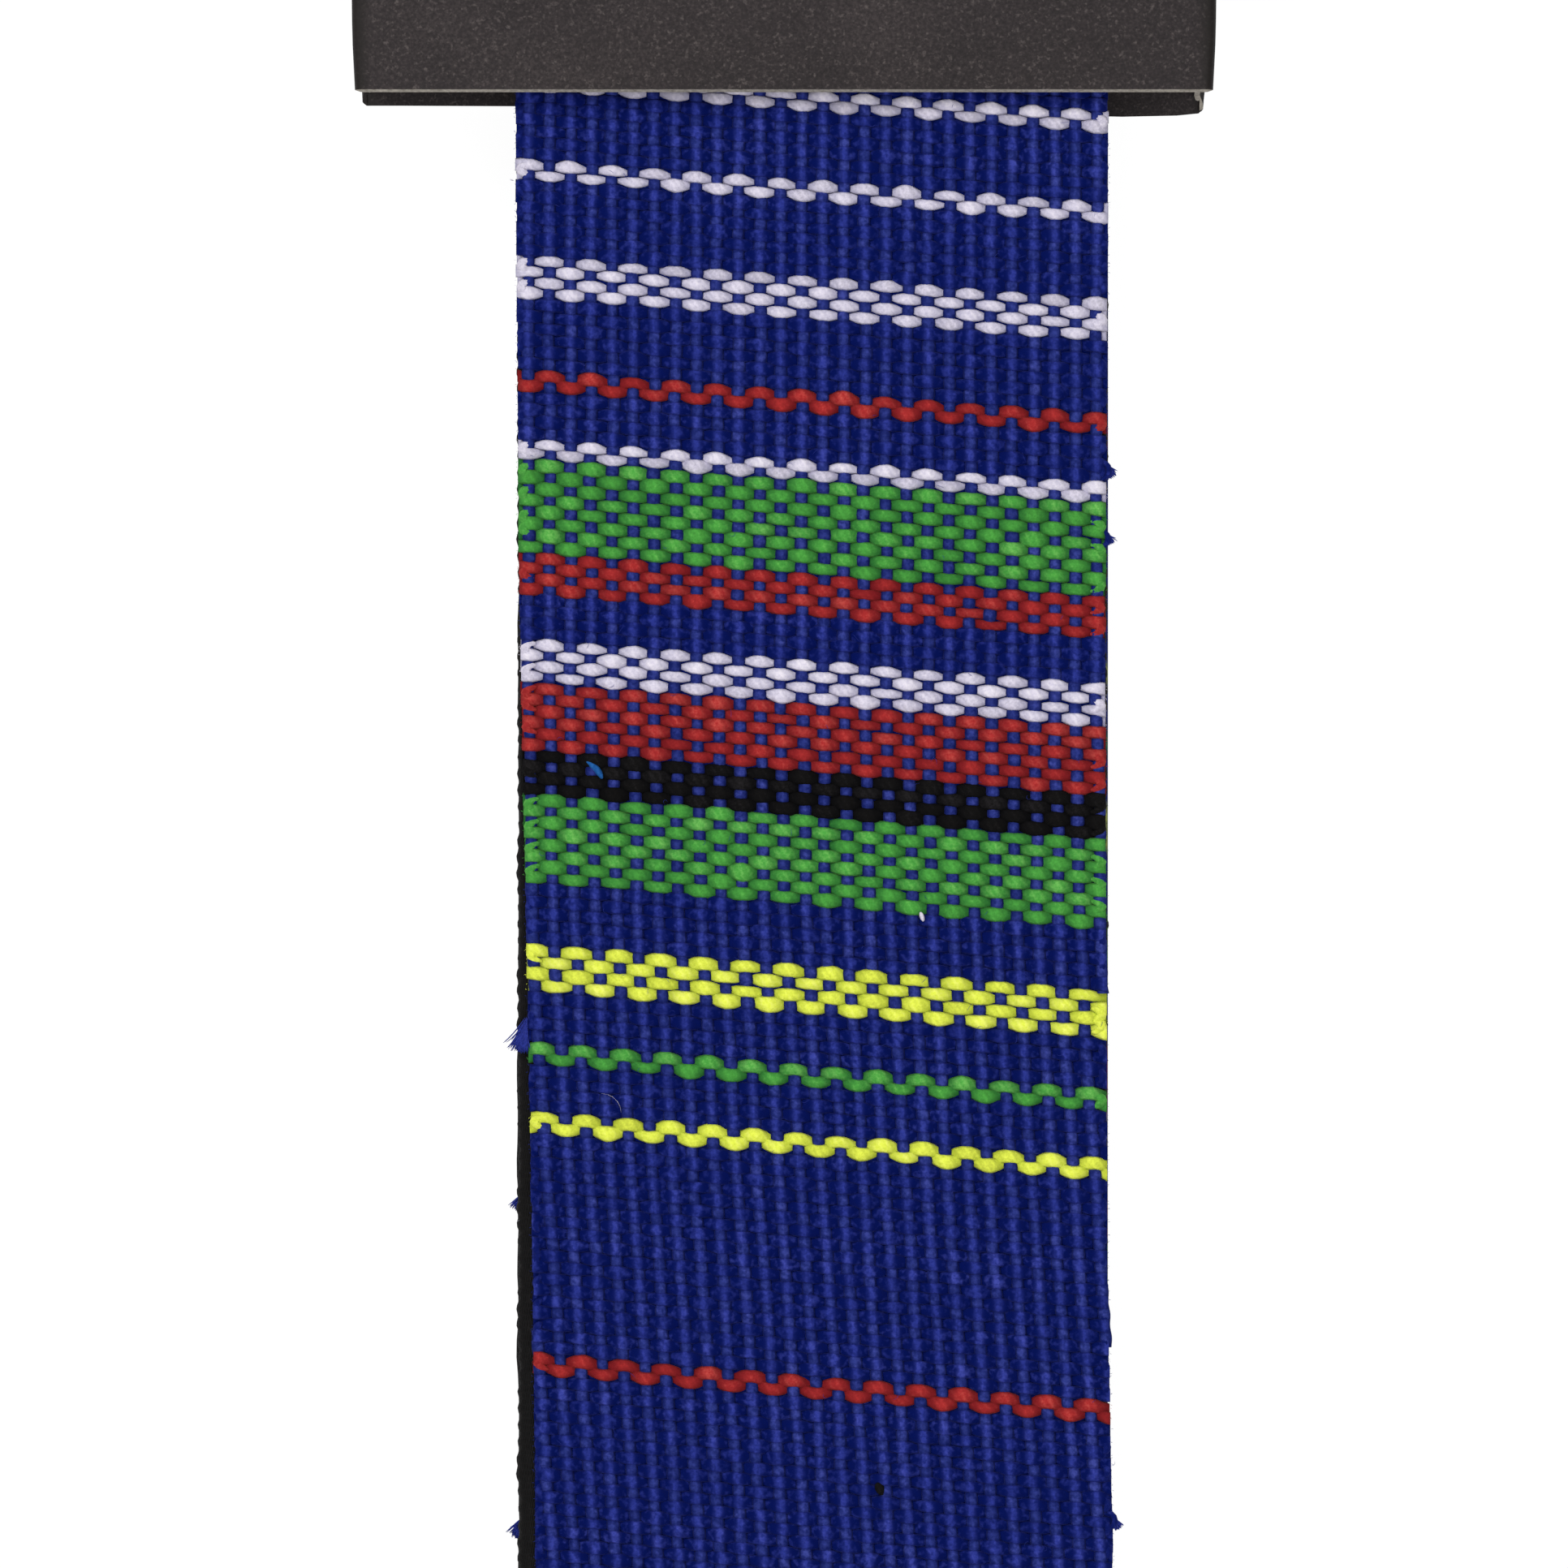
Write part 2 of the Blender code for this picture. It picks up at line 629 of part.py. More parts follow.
def make_keeper(keeper_frame):
    """An elastic loop, with the tack that closes it on its upper side."""
    outer_width = KEEPER_HOLE_WIDTH + 2 * KEEPER_THICKNESS
    outer_height = KEEPER_HOLE_HEIGHT + 2 * KEEPER_THICKNESS
    outer = rounded_outline(rectangle(outer_width, outer_height), KEEPER_CORNER)
    hole = rectangle(KEEPER_HOLE_WIDTH, KEEPER_HOLE_HEIGHT)
    inner = rounded_outline(hole, KEEPER_CORNER - KEEPER_THICKNESS)
    loop = flat_curve("keeper_loop", [outer, inner], KEEPER_WIDTH)
    finish(place("keeper_loop", loop, PARTS, keeper_frame, (0, 0, 0), END_ON_PLANE), BLACK_ELASTIC)

    size = rectangle(TACK_LENGTH, KEEPER_WIDTH - 2 * TACK_EDGE)
    tack = flat_curve("keeper_tack", [size], TACK_HEIGHT)
    spot = (STRAP_WIDTH / 4, 0, outer_height / 2 + THREAD_GAP + TACK_HEIGHT / 2)
    finish(place("keeper_tack", tack, PARTS, keeper_frame, spot), BLACK_THREAD)


def box_stitch_outlines(width, length):
    """A sewn box with a cross in it: the outside, and the four openings between the rows."""
    half_width = width / 2
    half_length = length / 2
    slope = half_length / half_width
    near_end = THREAD_WIDTH / 2 * math.hypot(1, slope)
    near_side = THREAD_WIDTH / 2 * math.hypot(1, 1 / slope)
    end_edge = half_length - THREAD_WIDTH
    side_edge = half_width - THREAD_WIDTH
    end_spread = (end_edge - near_end) / slope
    side_spread = (side_edge - near_side) * slope
    outlines = [rectangle(width, length)]
    for way in (-1, 1):
        outlines.append([(0, way * near_end), (end_spread, way * end_edge), (-end_spread, way * end_edge)])
        outlines.append([(way * near_side, 0), (way * side_edge, side_spread), (way * side_edge, -side_spread)])
    return outlines


def make_box_stitching(pack):
    width = FACE_WIDTH - 2 * BOX_STITCH_EDGE
    rows = flat_curve("box_stitching", box_stitch_outlines(width, BOX_STITCH_LENGTH), THREAD_HEIGHT)
    along = BAR_ALONG - BOX_STITCH_STANDOFF - BOX_STITCH_LENGTH / 2
    height = LOOP_TOP + HALF_STRAP + THREAD_GAP + THREAD_HEIGHT / 2
    finish(place("box_stitching", rows, PARTS, pack, (FACE_SHIFT, along, height)), BLACK_THREAD)


def make_tail_stitching(plug_frame):
    width = FACE_WIDTH - 2 * BOX_STITCH_EDGE
    outside = rectangle(width, TAIL_STITCH_LENGTH)
    inside = rectangle(width - 2 * THREAD_WIDTH, TAIL_STITCH_LENGTH - 2 * THREAD_WIDTH)
    rows = flat_curve("tail_stitching", [outside, inside], THREAD_HEIGHT)
    along = TAIL_END - TAIL_STITCH_STANDOFF - TAIL_STITCH_LENGTH / 2 - MOUTH
    height = TAIL_HEIGHT + HALF_STRAP + THREAD_GAP + THREAD_HEIGHT / 2 - BUCKLE_MID
    finish(place("tail_stitching", rows, PARTS, plug_frame, (FACE_SHIFT, along, height)), BLACK_THREAD)


def make_luggage_strap():
    pack = make_empty("pack_frame", None, (STRAP_OFFSET, SLEEVE_EDGE_Y, 0))
    sleeve_spot = (-STRAP_OFFSET, SLEEVE_LENGTH / 2, SLEEVE_TOP / 2)
    sleeve_frame = make_empty("sleeve_frame", pack, sleeve_spot)
    socket_frame = make_empty("socket_frame", pack, (0, MOUTH, BUCKLE_MID))
    plug_frame = make_empty("plug_frame", pack, (0, MOUTH, BUCKLE_MID))
    keeper_spot = (0, KEEPER_ALONG - MOUTH, KEEPER_MID - BUCKLE_MID)
    keeper_frame = make_empty("keeper_frame", plug_frame, keeper_spot)

    make_strap(pack)
    make_box_stitching(pack)
    make_socket(socket_frame)
    make_plug(plug_frame)
    make_prong("prong_left", -1, plug_frame)
    make_prong("prong_right", 1, plug_frame)
    make_strap_end(plug_frame)
    make_tail_stitching(plug_frame)
    make_keeper(keeper_frame)
    make_sleeve(sleeve_frame)
    bpy.context.view_layer.update()


make_luggage_strap()
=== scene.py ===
"""The looks of the luggage strap: woven yarns, black webbing, card sleeve, buckle, sewing and light."""

import math

import bmesh
import bpy
import numpy as np
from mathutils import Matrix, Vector


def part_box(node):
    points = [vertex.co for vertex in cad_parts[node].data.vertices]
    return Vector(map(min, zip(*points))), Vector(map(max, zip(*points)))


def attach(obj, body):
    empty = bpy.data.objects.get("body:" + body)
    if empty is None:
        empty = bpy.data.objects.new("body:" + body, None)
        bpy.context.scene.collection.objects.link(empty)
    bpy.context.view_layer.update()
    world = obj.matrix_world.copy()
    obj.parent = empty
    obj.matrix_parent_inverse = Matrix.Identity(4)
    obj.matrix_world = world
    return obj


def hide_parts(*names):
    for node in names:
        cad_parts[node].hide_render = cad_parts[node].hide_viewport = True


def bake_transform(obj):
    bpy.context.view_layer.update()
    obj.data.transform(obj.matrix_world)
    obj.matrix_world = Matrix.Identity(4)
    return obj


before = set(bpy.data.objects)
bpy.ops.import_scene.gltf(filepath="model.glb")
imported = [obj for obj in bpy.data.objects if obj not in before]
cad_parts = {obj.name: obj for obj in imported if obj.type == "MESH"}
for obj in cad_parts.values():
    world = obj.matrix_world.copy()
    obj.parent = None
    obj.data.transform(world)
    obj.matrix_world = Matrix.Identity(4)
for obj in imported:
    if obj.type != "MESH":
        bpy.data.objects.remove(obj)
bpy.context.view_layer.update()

MM = 0.001

# The photograph: its frame, its scale at the sleeve's front, and where the sleeve's cut edge lies in it
FRAME_PIXELS = 1932
PIXELS_PER_METRE = 14580
SLEEVE_EDGE_ROW = 113
CAMERA_DISTANCE = 0.75
SENSOR_WIDTH = 36

# Places from the solids
SLEEVE_LOW, SLEEVE_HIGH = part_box("card_sleeve")
STRAP_LOW, STRAP_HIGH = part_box("backing_webbing")
EDGE_Y = SLEEVE_LOW.y
STRAP_X = (STRAP_LOW.x + STRAP_HIGH.x) / 2
HALF_WIDTH = (STRAP_HIGH.x - STRAP_LOW.x) / 2

# Strap layers and folds
LAYER_THICKNESS = 0.8 * MM
LAYER_GAP = 0.3 * MM
HALF_STRAP = LAYER_THICKNESS + LAYER_GAP / 2
PLY_PITCH = 2.2 * MM
PLY_PAIRS = 3
BOTTOM_PLY = 1.75 * MM
TOP_PLY = BOTTOM_PLY + (2 * PLY_PAIRS - 1) * PLY_PITCH
BOTTOM_FOLD = -200 * MM + HALF_STRAP
TOP_FOLD = 30 * MM - HALF_STRAP
FOLD_STAGGER = 1.6 * MM
END_JOIN = 10 * MM
SAG_START = 26 * MM
SAG_LENGTH = 58 * MM
SAG_DROP = 0.55 * MM
FOLD_SHOWN = 12 * MM
FOLD_RUN_OUT = 2 * MM

# The strap round the socket's bar, and the other end through the plug's ladder
BAR_ALONG = 72 * MM
LOOP_RADIUS = 3.55 * MM
LOOP_MIDDLE = 8.8 * MM
LOOP_FOOT = BAR_ALONG - 4 * MM
LOOP_SHOULDER = BAR_ALONG - 24 * MM
PACK_START = BAR_ALONG - 38 * MM
FLAP_BEND = BAR_ALONG - 14 * MM
FLAP_END = BAR_ALONG - 30 * MM
FLAP_HEIGHT = LOOP_MIDDLE + LOOP_RADIUS - PLY_PITCH
BEND_RADIUS = 5 * MM
BIGHT_ALONG = 184.4 * MM
BIGHT_RADIUS = 4.1 * MM
LOAD_HEIGHT = BOTTOM_PLY + 2 * BIGHT_RADIUS
UNDER_HEIGHT = 4.05 * MM
TAIL_HEIGHT = LOAD_HEIGHT + PLY_PITCH
OUTER_SLOT = 136.6 * MM
INNER_SLOT = 128.0 * MM
LADDER_BEND = 1.4 * MM
TAIL_END = 181.4 * MM
BIGHT_LEAD = 5.5 * MM
BIGHT_SHOWN = 24 * MM

# How finely a route is made, and the least turn, in radians, that counts as a bend
ROUTE_STEP = 1 * MM
ARC_STEP = math.radians(6)
LEAST_TURN = 0.01

# Weave of the face: spacing and bulk of its yarns
WARP_PITCH = 1.786 * MM
WARP_HALF_WIDTH = 0.54 * MM
WARP_HALF_HEIGHT = 0.30 * MM
WARP_RISE = 0.21 * MM
WEFT_HALF_WIDTH = 0.60 * MM
WEFT_HALF_HEIGHT = 0.29 * MM
WEFT_RISE = 0.30 * MM
WARP_INSET = 0.3 * MM
WARP_TAPER = 0.08
# How much darker the warp is painted where it dips under the weft, as painted shade
WARP_DIP_SHADE = 0.1
CREST = 0.59 * MM
CREST_FOOT = 0.2 * MM
FACE_LIFT = LAYER_GAP / 2 + LAYER_THICKNESS / 2
DRAFT_START = -2.3 * MM

# How finely the yarns are made: points to a crossing, points round a yarn, and the warp ends there can be
WEFT_STEPS = 6
ACCENT_STEPS = 8
FEWER_STEPS = 2
WARP_STEPS = 4
YARN_SECTION = np.radians([0, 45, 90, 135, 180, 270])
WARP_COLUMNS = range(-6, 29)
WARP_PARTS = ("left", "middle", "right")

# How the yarns wander: the distance from one aim to the next, and the spread of the aims
WEFT_SWAY = (4 * MM, 0.035 * MM)
WEFT_HEAVE = (9 * MM, 0.02 * MM)
WEFT_DYE = (3 * MM, 0.1)
WARP_SWAY = (6 * MM, 0.08 * MM)
WARP_SWELL = (5 * MM, 0.06)
WARP_DYE = (4 * MM, 0.1)
WEBBING_SWAY = (2.2 * MM, 0.06 * MM)

# Spread from yarn to yarn: of the weft's girth at each warp end, and of both yarns' shades
GIRTH_COLUMNS = np.arange(-8, 40)
GIRTH_SPREAD = 0.1
WEFT_SHADES = 0.1
WARP_SHADES = 0.06

# The weft at a cut edge: spread of its ends, half width, how far in that reaches and fades, and its round end
EDGE_SPREAD = 0.035 * MM
EDGE_HALF_WIDTH = 0.54 * MM
EDGE_FLARE = 1.6 * MM
EDGE_FADE = 1 * MM
EDGE_ROUND = 0.5 * MM

# The cloth where it is folded away, and how closely it is made at a fold
BAND_HALF = 0.3 * MM
BAND_EDGE = 0.15 * MM
BAND_RELIEF = 0.12 * MM
COLUMN_ROOM = 0.2
FOLD_STEP = 0.2 * MM
FOLD_LEAD = 0.4 * MM
FOLD_TURN = 0.05

# Webbing: its cords, rows and looped edge, its columns from the edge in, and its steps along by piece
WEBBING_CORD = 1.25 * MM
WEBBING_ROW = 1.1 * MM
WEBBING_BEAT = 2.2 * MM
WEBBING_RELIEF = 0.1 * MM
WEBBING_ROUND = 0.5 * MM
WEBBING_SCALLOP = 1.42 * MM
SCALLOP_DEPTH = 0.08 * MM
SCALLOP_REACH = 1.2 * MM
WEBBING_RIM = np.array([0, 0.08, 0.25, 0.5, 0.8, 1.1, 1.4, 1.7, 2, 2.3]) * MM
SHOWN_COLUMNS = 147
HIDDEN_COLUMNS = 9
WEBBING_STEPS = {
    "backing_front": 0.35 * MM, "backing_plies": 1.4 * MM, "backing_last_ply": 0.7 * MM,
    "backing_under": 0.7 * MM, "backing_tail": 0.4 * MM,
}

# Card sleeve: its board and folds, the reach of the painted shade along the folds, its ends drawn in at the
# sides, and its side walls' cut-back ends
CARD_THICKNESS = 0.5 * MM
CARD_FOLD = 0.7 * MM
CARD_FOLD_SHADE = 1.9 * MM
CARD_KNIFE = 0.2 * MM
CARD_NOTCH = 1.3 * MM
CARD_BOW = 0.6 * MM
CARD_RIM = 0.1 * MM
CARD_DRAW = 0.35 * MM
CARD_DRAW_LENGTH = 5 * MM
REAR_DRAW = 0.6
WALL_SHARE = 0.98
WALL_FOOT = 0.06
WALL_TOP = 0.95
WALL_FADE = 0.2

# How far the sleeve's rear edge hangs below its front one, by share of the half width, and its reach up
REAR_SHARES = (-1, -0.9, -0.3, 0.8, 0.93, 1)
REAR_HANG = np.array([0, 0, 0.1, 0.95, 0.85, 0.6]) * MM
REAR_LENGTH = 20 * MM

# Cuts across the card for those shapes: across and up as shares, and along
CARD_CUTS_ACROSS = (-0.9, -0.3, 0, 0.4, 0.65, 0.8, 0.87, 0.93)
CARD_CUTS_ALONG = np.array([4, 6, 12, 20, 38, 44, 46]) * MM
CARD_CUTS_UP = (WALL_FOOT, 0.5, 0.75, 0.8, 0.85, 0.9, WALL_TOP)

# Sewing, and the elastic keeper
THREAD_RADIUS = 0.2 * MM
THREAD_SIDES = 6
STITCH_LENGTH = 2.8 * MM
STITCH_SPAN = np.array([0.06, 0.94])
STITCH_POINTS = 9
STITCH_DIP = 0.45 * MM
FRONT_STITCH_RISE = 0.18 * MM
BACK_STITCH_RISE = 0.12 * MM
TAIL_ROWS = 3
TACK_ROWS = 22
ELASTIC_ROW = 0.7 * MM
KEEPER_FOLD = 1.6 * MM
KEEPER_THICKNESS = 0.9 * MM
KEEPER_RIBS = 9
KEEPER_RIB_DEPTH = 0.14 * MM
KEEPER_CUTS = 14
KEEPER_SLACK = 0.05 * MM
KEEPER_SLACK_RUN = 7 * MM
KEEPER_FLAT = 0.4

# Moulded detail of the buckle
PLASTIC_ROUND = 0.3 * MM
PLASTIC_CORNER = math.radians(40)
PANEL_DEPTH = 0.7 * MM
PANEL_CORNER = 3 * MM
PANEL_SIDE = 9 * MM
PANEL_END = 6 * MM
SOCKET_BAR_END = 12.3 * MM
GROOVES = 3
GROOVE_START = 6.3 * MM
GROOVE_WIDTH = 1.0 * MM
GROOVE_PITCH = 2.1 * MM
GROOVE_DEPTH = 0.7 * MM
ROUND_SEGMENTS = 6
MERGE_GAP = 0.01 * MM

# The white floor: its size, how far it lies below the strap, and how much of it is plain white
FLOOR_SIZE = 6
FLOOR_DROP = 0.2 * MM
FLOOR_GLOW = 1.06
FLOOR_PLAIN = 0.9

# The weft by colour: how far a stripe's outer picks lean in where they dip, how deep the painted shade
# between the ribs reaches, how much it narrows there, its girth and the unevenness of that painted shade;
# then the same of other yarns
YARN_LEANS = {
    "blue": 0, "white": 0.06 * MM, "red": 0.14 * MM,
    "green": 0.14 * MM, "black": 0.1 * MM, "yellow": 0.13 * MM,
}
YARN_SHADE_DEPTHS = {"blue": 13, "white": 0.85, "red": 2.7, "green": 1.7, "black": 1.5, "yellow": 1.1}
YARN_TAPERS = {"blue": 0.08, "white": 0.26, "red": 0.08, "green": 0.08, "black": 0.08, "yellow": 0.12}
YARN_GIRTHS = {"blue": 1, "white": 0.9, "red": 0.92, "green": 0.98, "black": 1, "yellow": 1}
YARN_SHADE_UNEVENNESS = {"blue": 2.4, "white": 0.8, "red": 0.8, "green": 0.8, "black": 0.8, "yellow": 0.8}
WARP_SHADE_DEPTH = 6
PLAIN_SHADE_DEPTH = 1
PLAIN_SHADE_UNEVENNESS = 0.8
TWIST_LENGTH = 1.5 * MM

# The order of the weft, as colour, picks and pitch, from the sleeve's edge down
DRAFT = (
    ("white", 2, 0.943 * MM), ("blue", 6, 0.967 * MM), ("white", 2, 0.92 * MM), ("blue", 7, 0.898 * MM),
    ("white", 4, 0.92 * MM), ("blue", 6, 1.002 * MM), ("red", 2, 0.95 * MM), ("blue", 4, 1.002 * MM),
    ("white", 2, 0.857 * MM), ("green", 8, 0.988 * MM), ("red", 4, 0.892 * MM), ("blue", 4, 0.926 * MM),
    ("white", 4, 0.926 * MM), ("red", 6, 0.96 * MM), ("black", 4, 0.926 * MM), ("green", 8, 0.943 * MM),
    ("blue", 5, 1.03 * MM), ("yellow", 4, 1.02 * MM), ("blue", 4, 1.07 * MM), ("green", 2, 0.97 * MM),
    ("blue", 4, 0.976 * MM), ("yellow", 2, 0.963 * MM), ("blue", 19, 0.976 * MM), ("red", 2, 0.97 * MM),
    ("blue", 19, 0.977 * MM),
)

# How the cloth lies on the webbing, by distance below the sleeve's edge: its edges, and its warp's drift
CLOTH_TRAVEL = np.array([-40, 2, 40, 95, 125, 200]) * MM
CLOTH_LEFT = np.array([-24.9, -25.15, -24.9, -23.8, -23.45, -23.8]) * MM
CLOTH_RIGHT = np.array([24.9, 25.1, 24.85, 25.05, 25.6, 25.2]) * MM
DRIFT_TRAVEL = np.array([0, 50, 70, 90, 200]) * MM
WARP_DRIFT = np.array([0, 0, 0.35, 1.5, 9.3]) * MM
SLOPE_TRAVEL = np.array([0, 125]) * MM
WEFT_SLOPE = np.tan(np.radians([4.2, 5.0]))
WEFT_FALL = WEFT_SLOPE[-1] * 2 * HALF_WIDTH

# Loose turns of blue weft at the cut edges, as side, the pick's distance below the sleeve's edge, and reach
LOOSE_TURNS = (
    ("right", 28.0 * MM, 0.5 * MM), ("right", 33.8 * MM, 0.45 * MM), ("right", 116.6 * MM, 0.5 * MM),
)

# Slubs, flecks and stray fibres, as colour, place below the edge and across, heading, length, bend, radius
STRAYS = (
    ("pale", 56.4 * MM, -19.4 * MM, 25, 2.3 * MM, 40, 0.3 * MM),
    ("white", 69.2 * MM, 9.1 * MM, 65, 0.95 * MM, 10, 0.2 * MM),
    ("blue", 3.1 * MM, -9.8 * MM, 70, 0.8 * MM, 10, 0.34 * MM),
    ("black", 117.6 * MM, 5.4 * MM, 60, 1.3 * MM, 10, 0.4 * MM),
    ("white", 84.8 * MM, -18.4 * MM, -10, 3.1 * MM, 90, 0.012 * MM),
    ("white", 94.0 * MM, -24.2 * MM, 95, 2.1 * MM, 50, 0.015 * MM),
    ("blue", 119.0 * MM, -25.0 * MM, 5, 1.4 * MM, 15, 0.06 * MM),
    ("white", 7.2 * MM, -25.3 * MM, 185, 0.4 * MM, 20, 0.05 * MM),
)

# Tufts of frayed weft at the edges of the top ply and of the ply below it, as place below the sleeve's edge,
# place across, lift, heading, length and count of fibres
FRAYS = (
    (77.8 * MM, -24.1 * MM, 0.6 * MM, 108, 3.5 * MM, 280),
    (93.2 * MM, -24.6 * MM, -3 * MM, 122, 1.8 * MM, 120),
    (120.8 * MM, -24.6 * MM, -3 * MM, 122, 2.1 * MM, 140),
    (31.2 * MM, 24.8 * MM, 0.4 * MM, 45, 1.5 * MM, 110),
    (36.9 * MM, 24.8 * MM, 0.4 * MM, 50, 1.4 * MM, 90),
    (120.6 * MM, 25.5 * MM, 0.4 * MM, 48, 1.3 * MM, 90),
)

# A tuft's fibres: their starts and runs as shares of its reach, their fan, heights, bends and radius
FRAY_STARTS = (0, 0.65)
FRAY_RUNS = (0.7, 1.05)
FRAY_FAN = 14
FRAY_HEIGHTS = 0.2 * MM
FRAY_BENDS = 12
FRAY_RADIUS = 0.05 * MM

# Fibres that stand out of the picks' cut ends: count to an end, and spread of place, heading, length and bend
END_FIBRES = 2
END_SCATTER = 0.25 * MM
END_HEADINGS = 45
END_LENGTHS = (0.1 * MM, 0.28 * MM)
END_BENDS = 50

# Fuzz on the front of the cloth, for as far as the photograph shows it
SHOWN_LENGTH = 130 * MM
FUZZ_FIBRES = 200
FUZZ_LENGTHS = (0.4 * MM, 1.1 * MM)
FUZZ_HEIGHTS = (-0.15 * MM, 0.03 * MM)
FUZZ_BENDS = 90

# Loose threads: a fibre's radius, the radius up to which a thread is fine, the rings of a thread and of a
# fine one, and how deep a stray is sunk in the cloth, as a share of its radius
FIBRE_RADIUS = 0.014 * MM
FINE_RADIUS = 0.1 * MM
THREAD_RINGS = 8
FINE_RINGS = 6
STRAY_SUNK = 0.6

# The dark blue sheet of painted shade in the gaps between the yarns: its inset from the edges, step along,
# and depths of its two faces
GROUND_INSET = 0.8 * MM
GROUND_STEP = 0.5 * MM
GROUND_DEPTHS = np.array([0.05, 0.15]) * MM

# A turn's inset from the cloth's edge, its radius and its lift: of the ground, of a stripe and of a loose one
GROUND_TURN = (0.8 * MM, 0.38 * MM, 0.1 * MM)
STRIPE_TURN = (1.3 * MM, 0.46 * MM, 0.2 * MM)
LOOSE_TURN = (0.8 * MM, 0.26 * MM, 0.1 * MM)

# The turns' reach past the edge, a loose one's pitch, the picks before they change sides, their shape and
# painted shade
TURN_REACH = 0.04 * MM
LOOSE_PITCH = 1.7 * MM
TURN_RUN = 8
TURN_RINGS = 9
TURN_CLOSING = 0.92
TURN_BLUNTNESS = 0.7
TURN_SHADE_LEVEL = 0.86

RANDOM = np.random.default_rng(11)


def from_srgb(red, green, blue):
    """A colour as the eye reads it, in 0 to 255, as the linear one that a shader takes."""
    shares = (value / 255 for value in (red, green, blue))
    return tuple(s / 12.92 if s <= 0.04045 else ((s + 0.055) / 1.055) ** 2.4 for s in shares)


# Each yarn's colour as painted shade deep between the ribs, on its body, and on its crests
YARN_COLOURS = {
    "blue": (from_srgb(0, 13, 78), from_srgb(42, 53, 138), from_srgb(63, 72, 160)),
    "white": (from_srgb(122, 121, 156), from_srgb(216, 210, 227), from_srgb(238, 232, 241)),
    "red": (from_srgb(104, 18, 26), from_srgb(168, 46, 46), from_srgb(196, 80, 72)),
    "green": (from_srgb(24, 84, 40), from_srgb(76, 160, 66), from_srgb(118, 190, 94)),
    "black": (from_srgb(5, 5, 7), from_srgb(19, 18, 18), from_srgb(36, 34, 36)),
    "yellow": (from_srgb(146, 162, 38), from_srgb(230, 242, 82), from_srgb(246, 250, 122)),
}
WARP_COLOURS = (from_srgb(0, 13, 76), from_srgb(44, 55, 128), from_srgb(65, 74, 154))
PALE_COLOURS = (from_srgb(14, 44, 100), from_srgb(28, 84, 150), from_srgb(54, 112, 176))
GROUND_SHADE_COLOURS = (from_srgb(0, 12, 70), from_srgb(2, 16, 82), from_srgb(8, 24, 96))
WEBBING_COLOURS = (from_srgb(5, 4, 4), from_srgb(18, 16, 16), from_srgb(34, 31, 31))
THREAD_COLOURS = (from_srgb(4, 4, 4), from_srgb(22, 22, 23), from_srgb(44, 43, 45))

# The card's face, flecks, painted shade at its folds, and core, the buckle's plastic, and painted shade in
# the gaps of folded cloth
CARD_COLOURS = (from_srgb(28, 23, 24), from_srgb(42, 36, 37), from_srgb(60, 53, 53))
FLECK_COLOUR = from_srgb(96, 88, 86)
FOLD_SHADE_COLOUR = from_srgb(24, 20, 18)
CORE_COLOURS = (from_srgb(136, 130, 120), from_srgb(182, 175, 164))
PLASTIC_COLOURS = (from_srgb(15, 15, 16), from_srgb(23, 23, 24))
FOLDED_GAP_SHADE_COLOUR = from_srgb(4, 8, 40)


def rounded_corner(before, corner, after, radius):
    """Points of the arc that rounds one corner."""
    into = (corner - before) / np.linalg.norm(corner - before)
    away = (after - corner) / np.linalg.norm(after - corner)
    turn = math.atan2(into[0] * away[1] - into[1] * away[0], into @ away)
    start = corner - into * radius * math.tan(abs(turn) / 2)
    centre = start + np.array([-into[1], into[0]]) * math.copysign(radius, turn)
    steps = max(2, math.ceil(abs(turn) / ARC_STEP))
    angles = np.linspace(0, turn, steps + 1)
    spoke = start - centre
    across = spoke[0] * np.cos(angles) - spoke[1] * np.sin(angles)
    up = spoke[0] * np.sin(angles) + spoke[1] * np.cos(angles)
    return list(centre + np.stack([across, up], axis=1))


def rounded_route(corners):
    """A route in side view through corners of (along, height, bend radius), with close points on it."""
    spots = [np.array(corner[:2]) for corner in corners]
    bends = [spots[0]]
    for index in range(1, len(corners) - 1):
        bends += rounded_corner(spots[index - 1], spots[index], spots[index + 1], corners[index][2])
    bends.append(spots[-1])
    points = [bends[0]]
    for start, end in zip(bends, bends[1:]):
        steps = math.ceil(np.linalg.norm(end - start) / ROUTE_STEP - 1e-6)
        points += [start + (end - start) * step / steps for step in range(1, steps + 1)]
    return np.array(points)


def settled(points):
    """The route lowered to the floor where it hangs out of the sleeve."""
    share = np.clip((-points[:, 0] - SAG_START) / SAG_LENGTH, 0, 1)
    drop = SAG_DROP * share * share * (3 - 2 * share)
    return np.stack([points[:, 0], points[:, 1] - drop], axis=1)


class Route:
    """The middle line of a strap in side view, read by the distance travelled along it."""

    def __init__(self, points):
        steps = np.diff(points, axis=0)
        self.points = points
        self.travel = np.concatenate([[0], np.cumsum(np.hypot(steps[:, 0], steps[:, 1]))])
        self.middles = (self.travel[:-1] + self.travel[1:]) / 2
        self.heading = np.unwrap(np.arctan2(steps[:, 1], steps[:, 0]))

    def spots(self, travel, across, lift):
        """Places on the strap, lifted off its middle line to the face side."""
        travel, across, lift = np.broadcast_arrays(travel, across, lift)
        heading = np.interp(travel, self.middles, self.heading)
        along = np.interp(travel, self.travel, self.points[:, 0]) + lift * np.sin(heading)
        height = np.interp(travel, self.travel, self.points[:, 1]) - lift * np.cos(heading)
        return np.stack([STRAP_X + across, EDGE_Y + along, height], axis=-1)

    def bends(self):
        """The distances along the route at which it turns."""
        return self.travel[1:-1][np.abs(np.diff(self.heading)) > LEAST_TURN]

    def travel_near(self, along, height):
        """The distance along the route to the point nearest a place in side view."""
        gaps = np.hypot(self.points[:, 0] - along, self.points[:, 1] - height)
        return self.travel[gaps.argmin()]


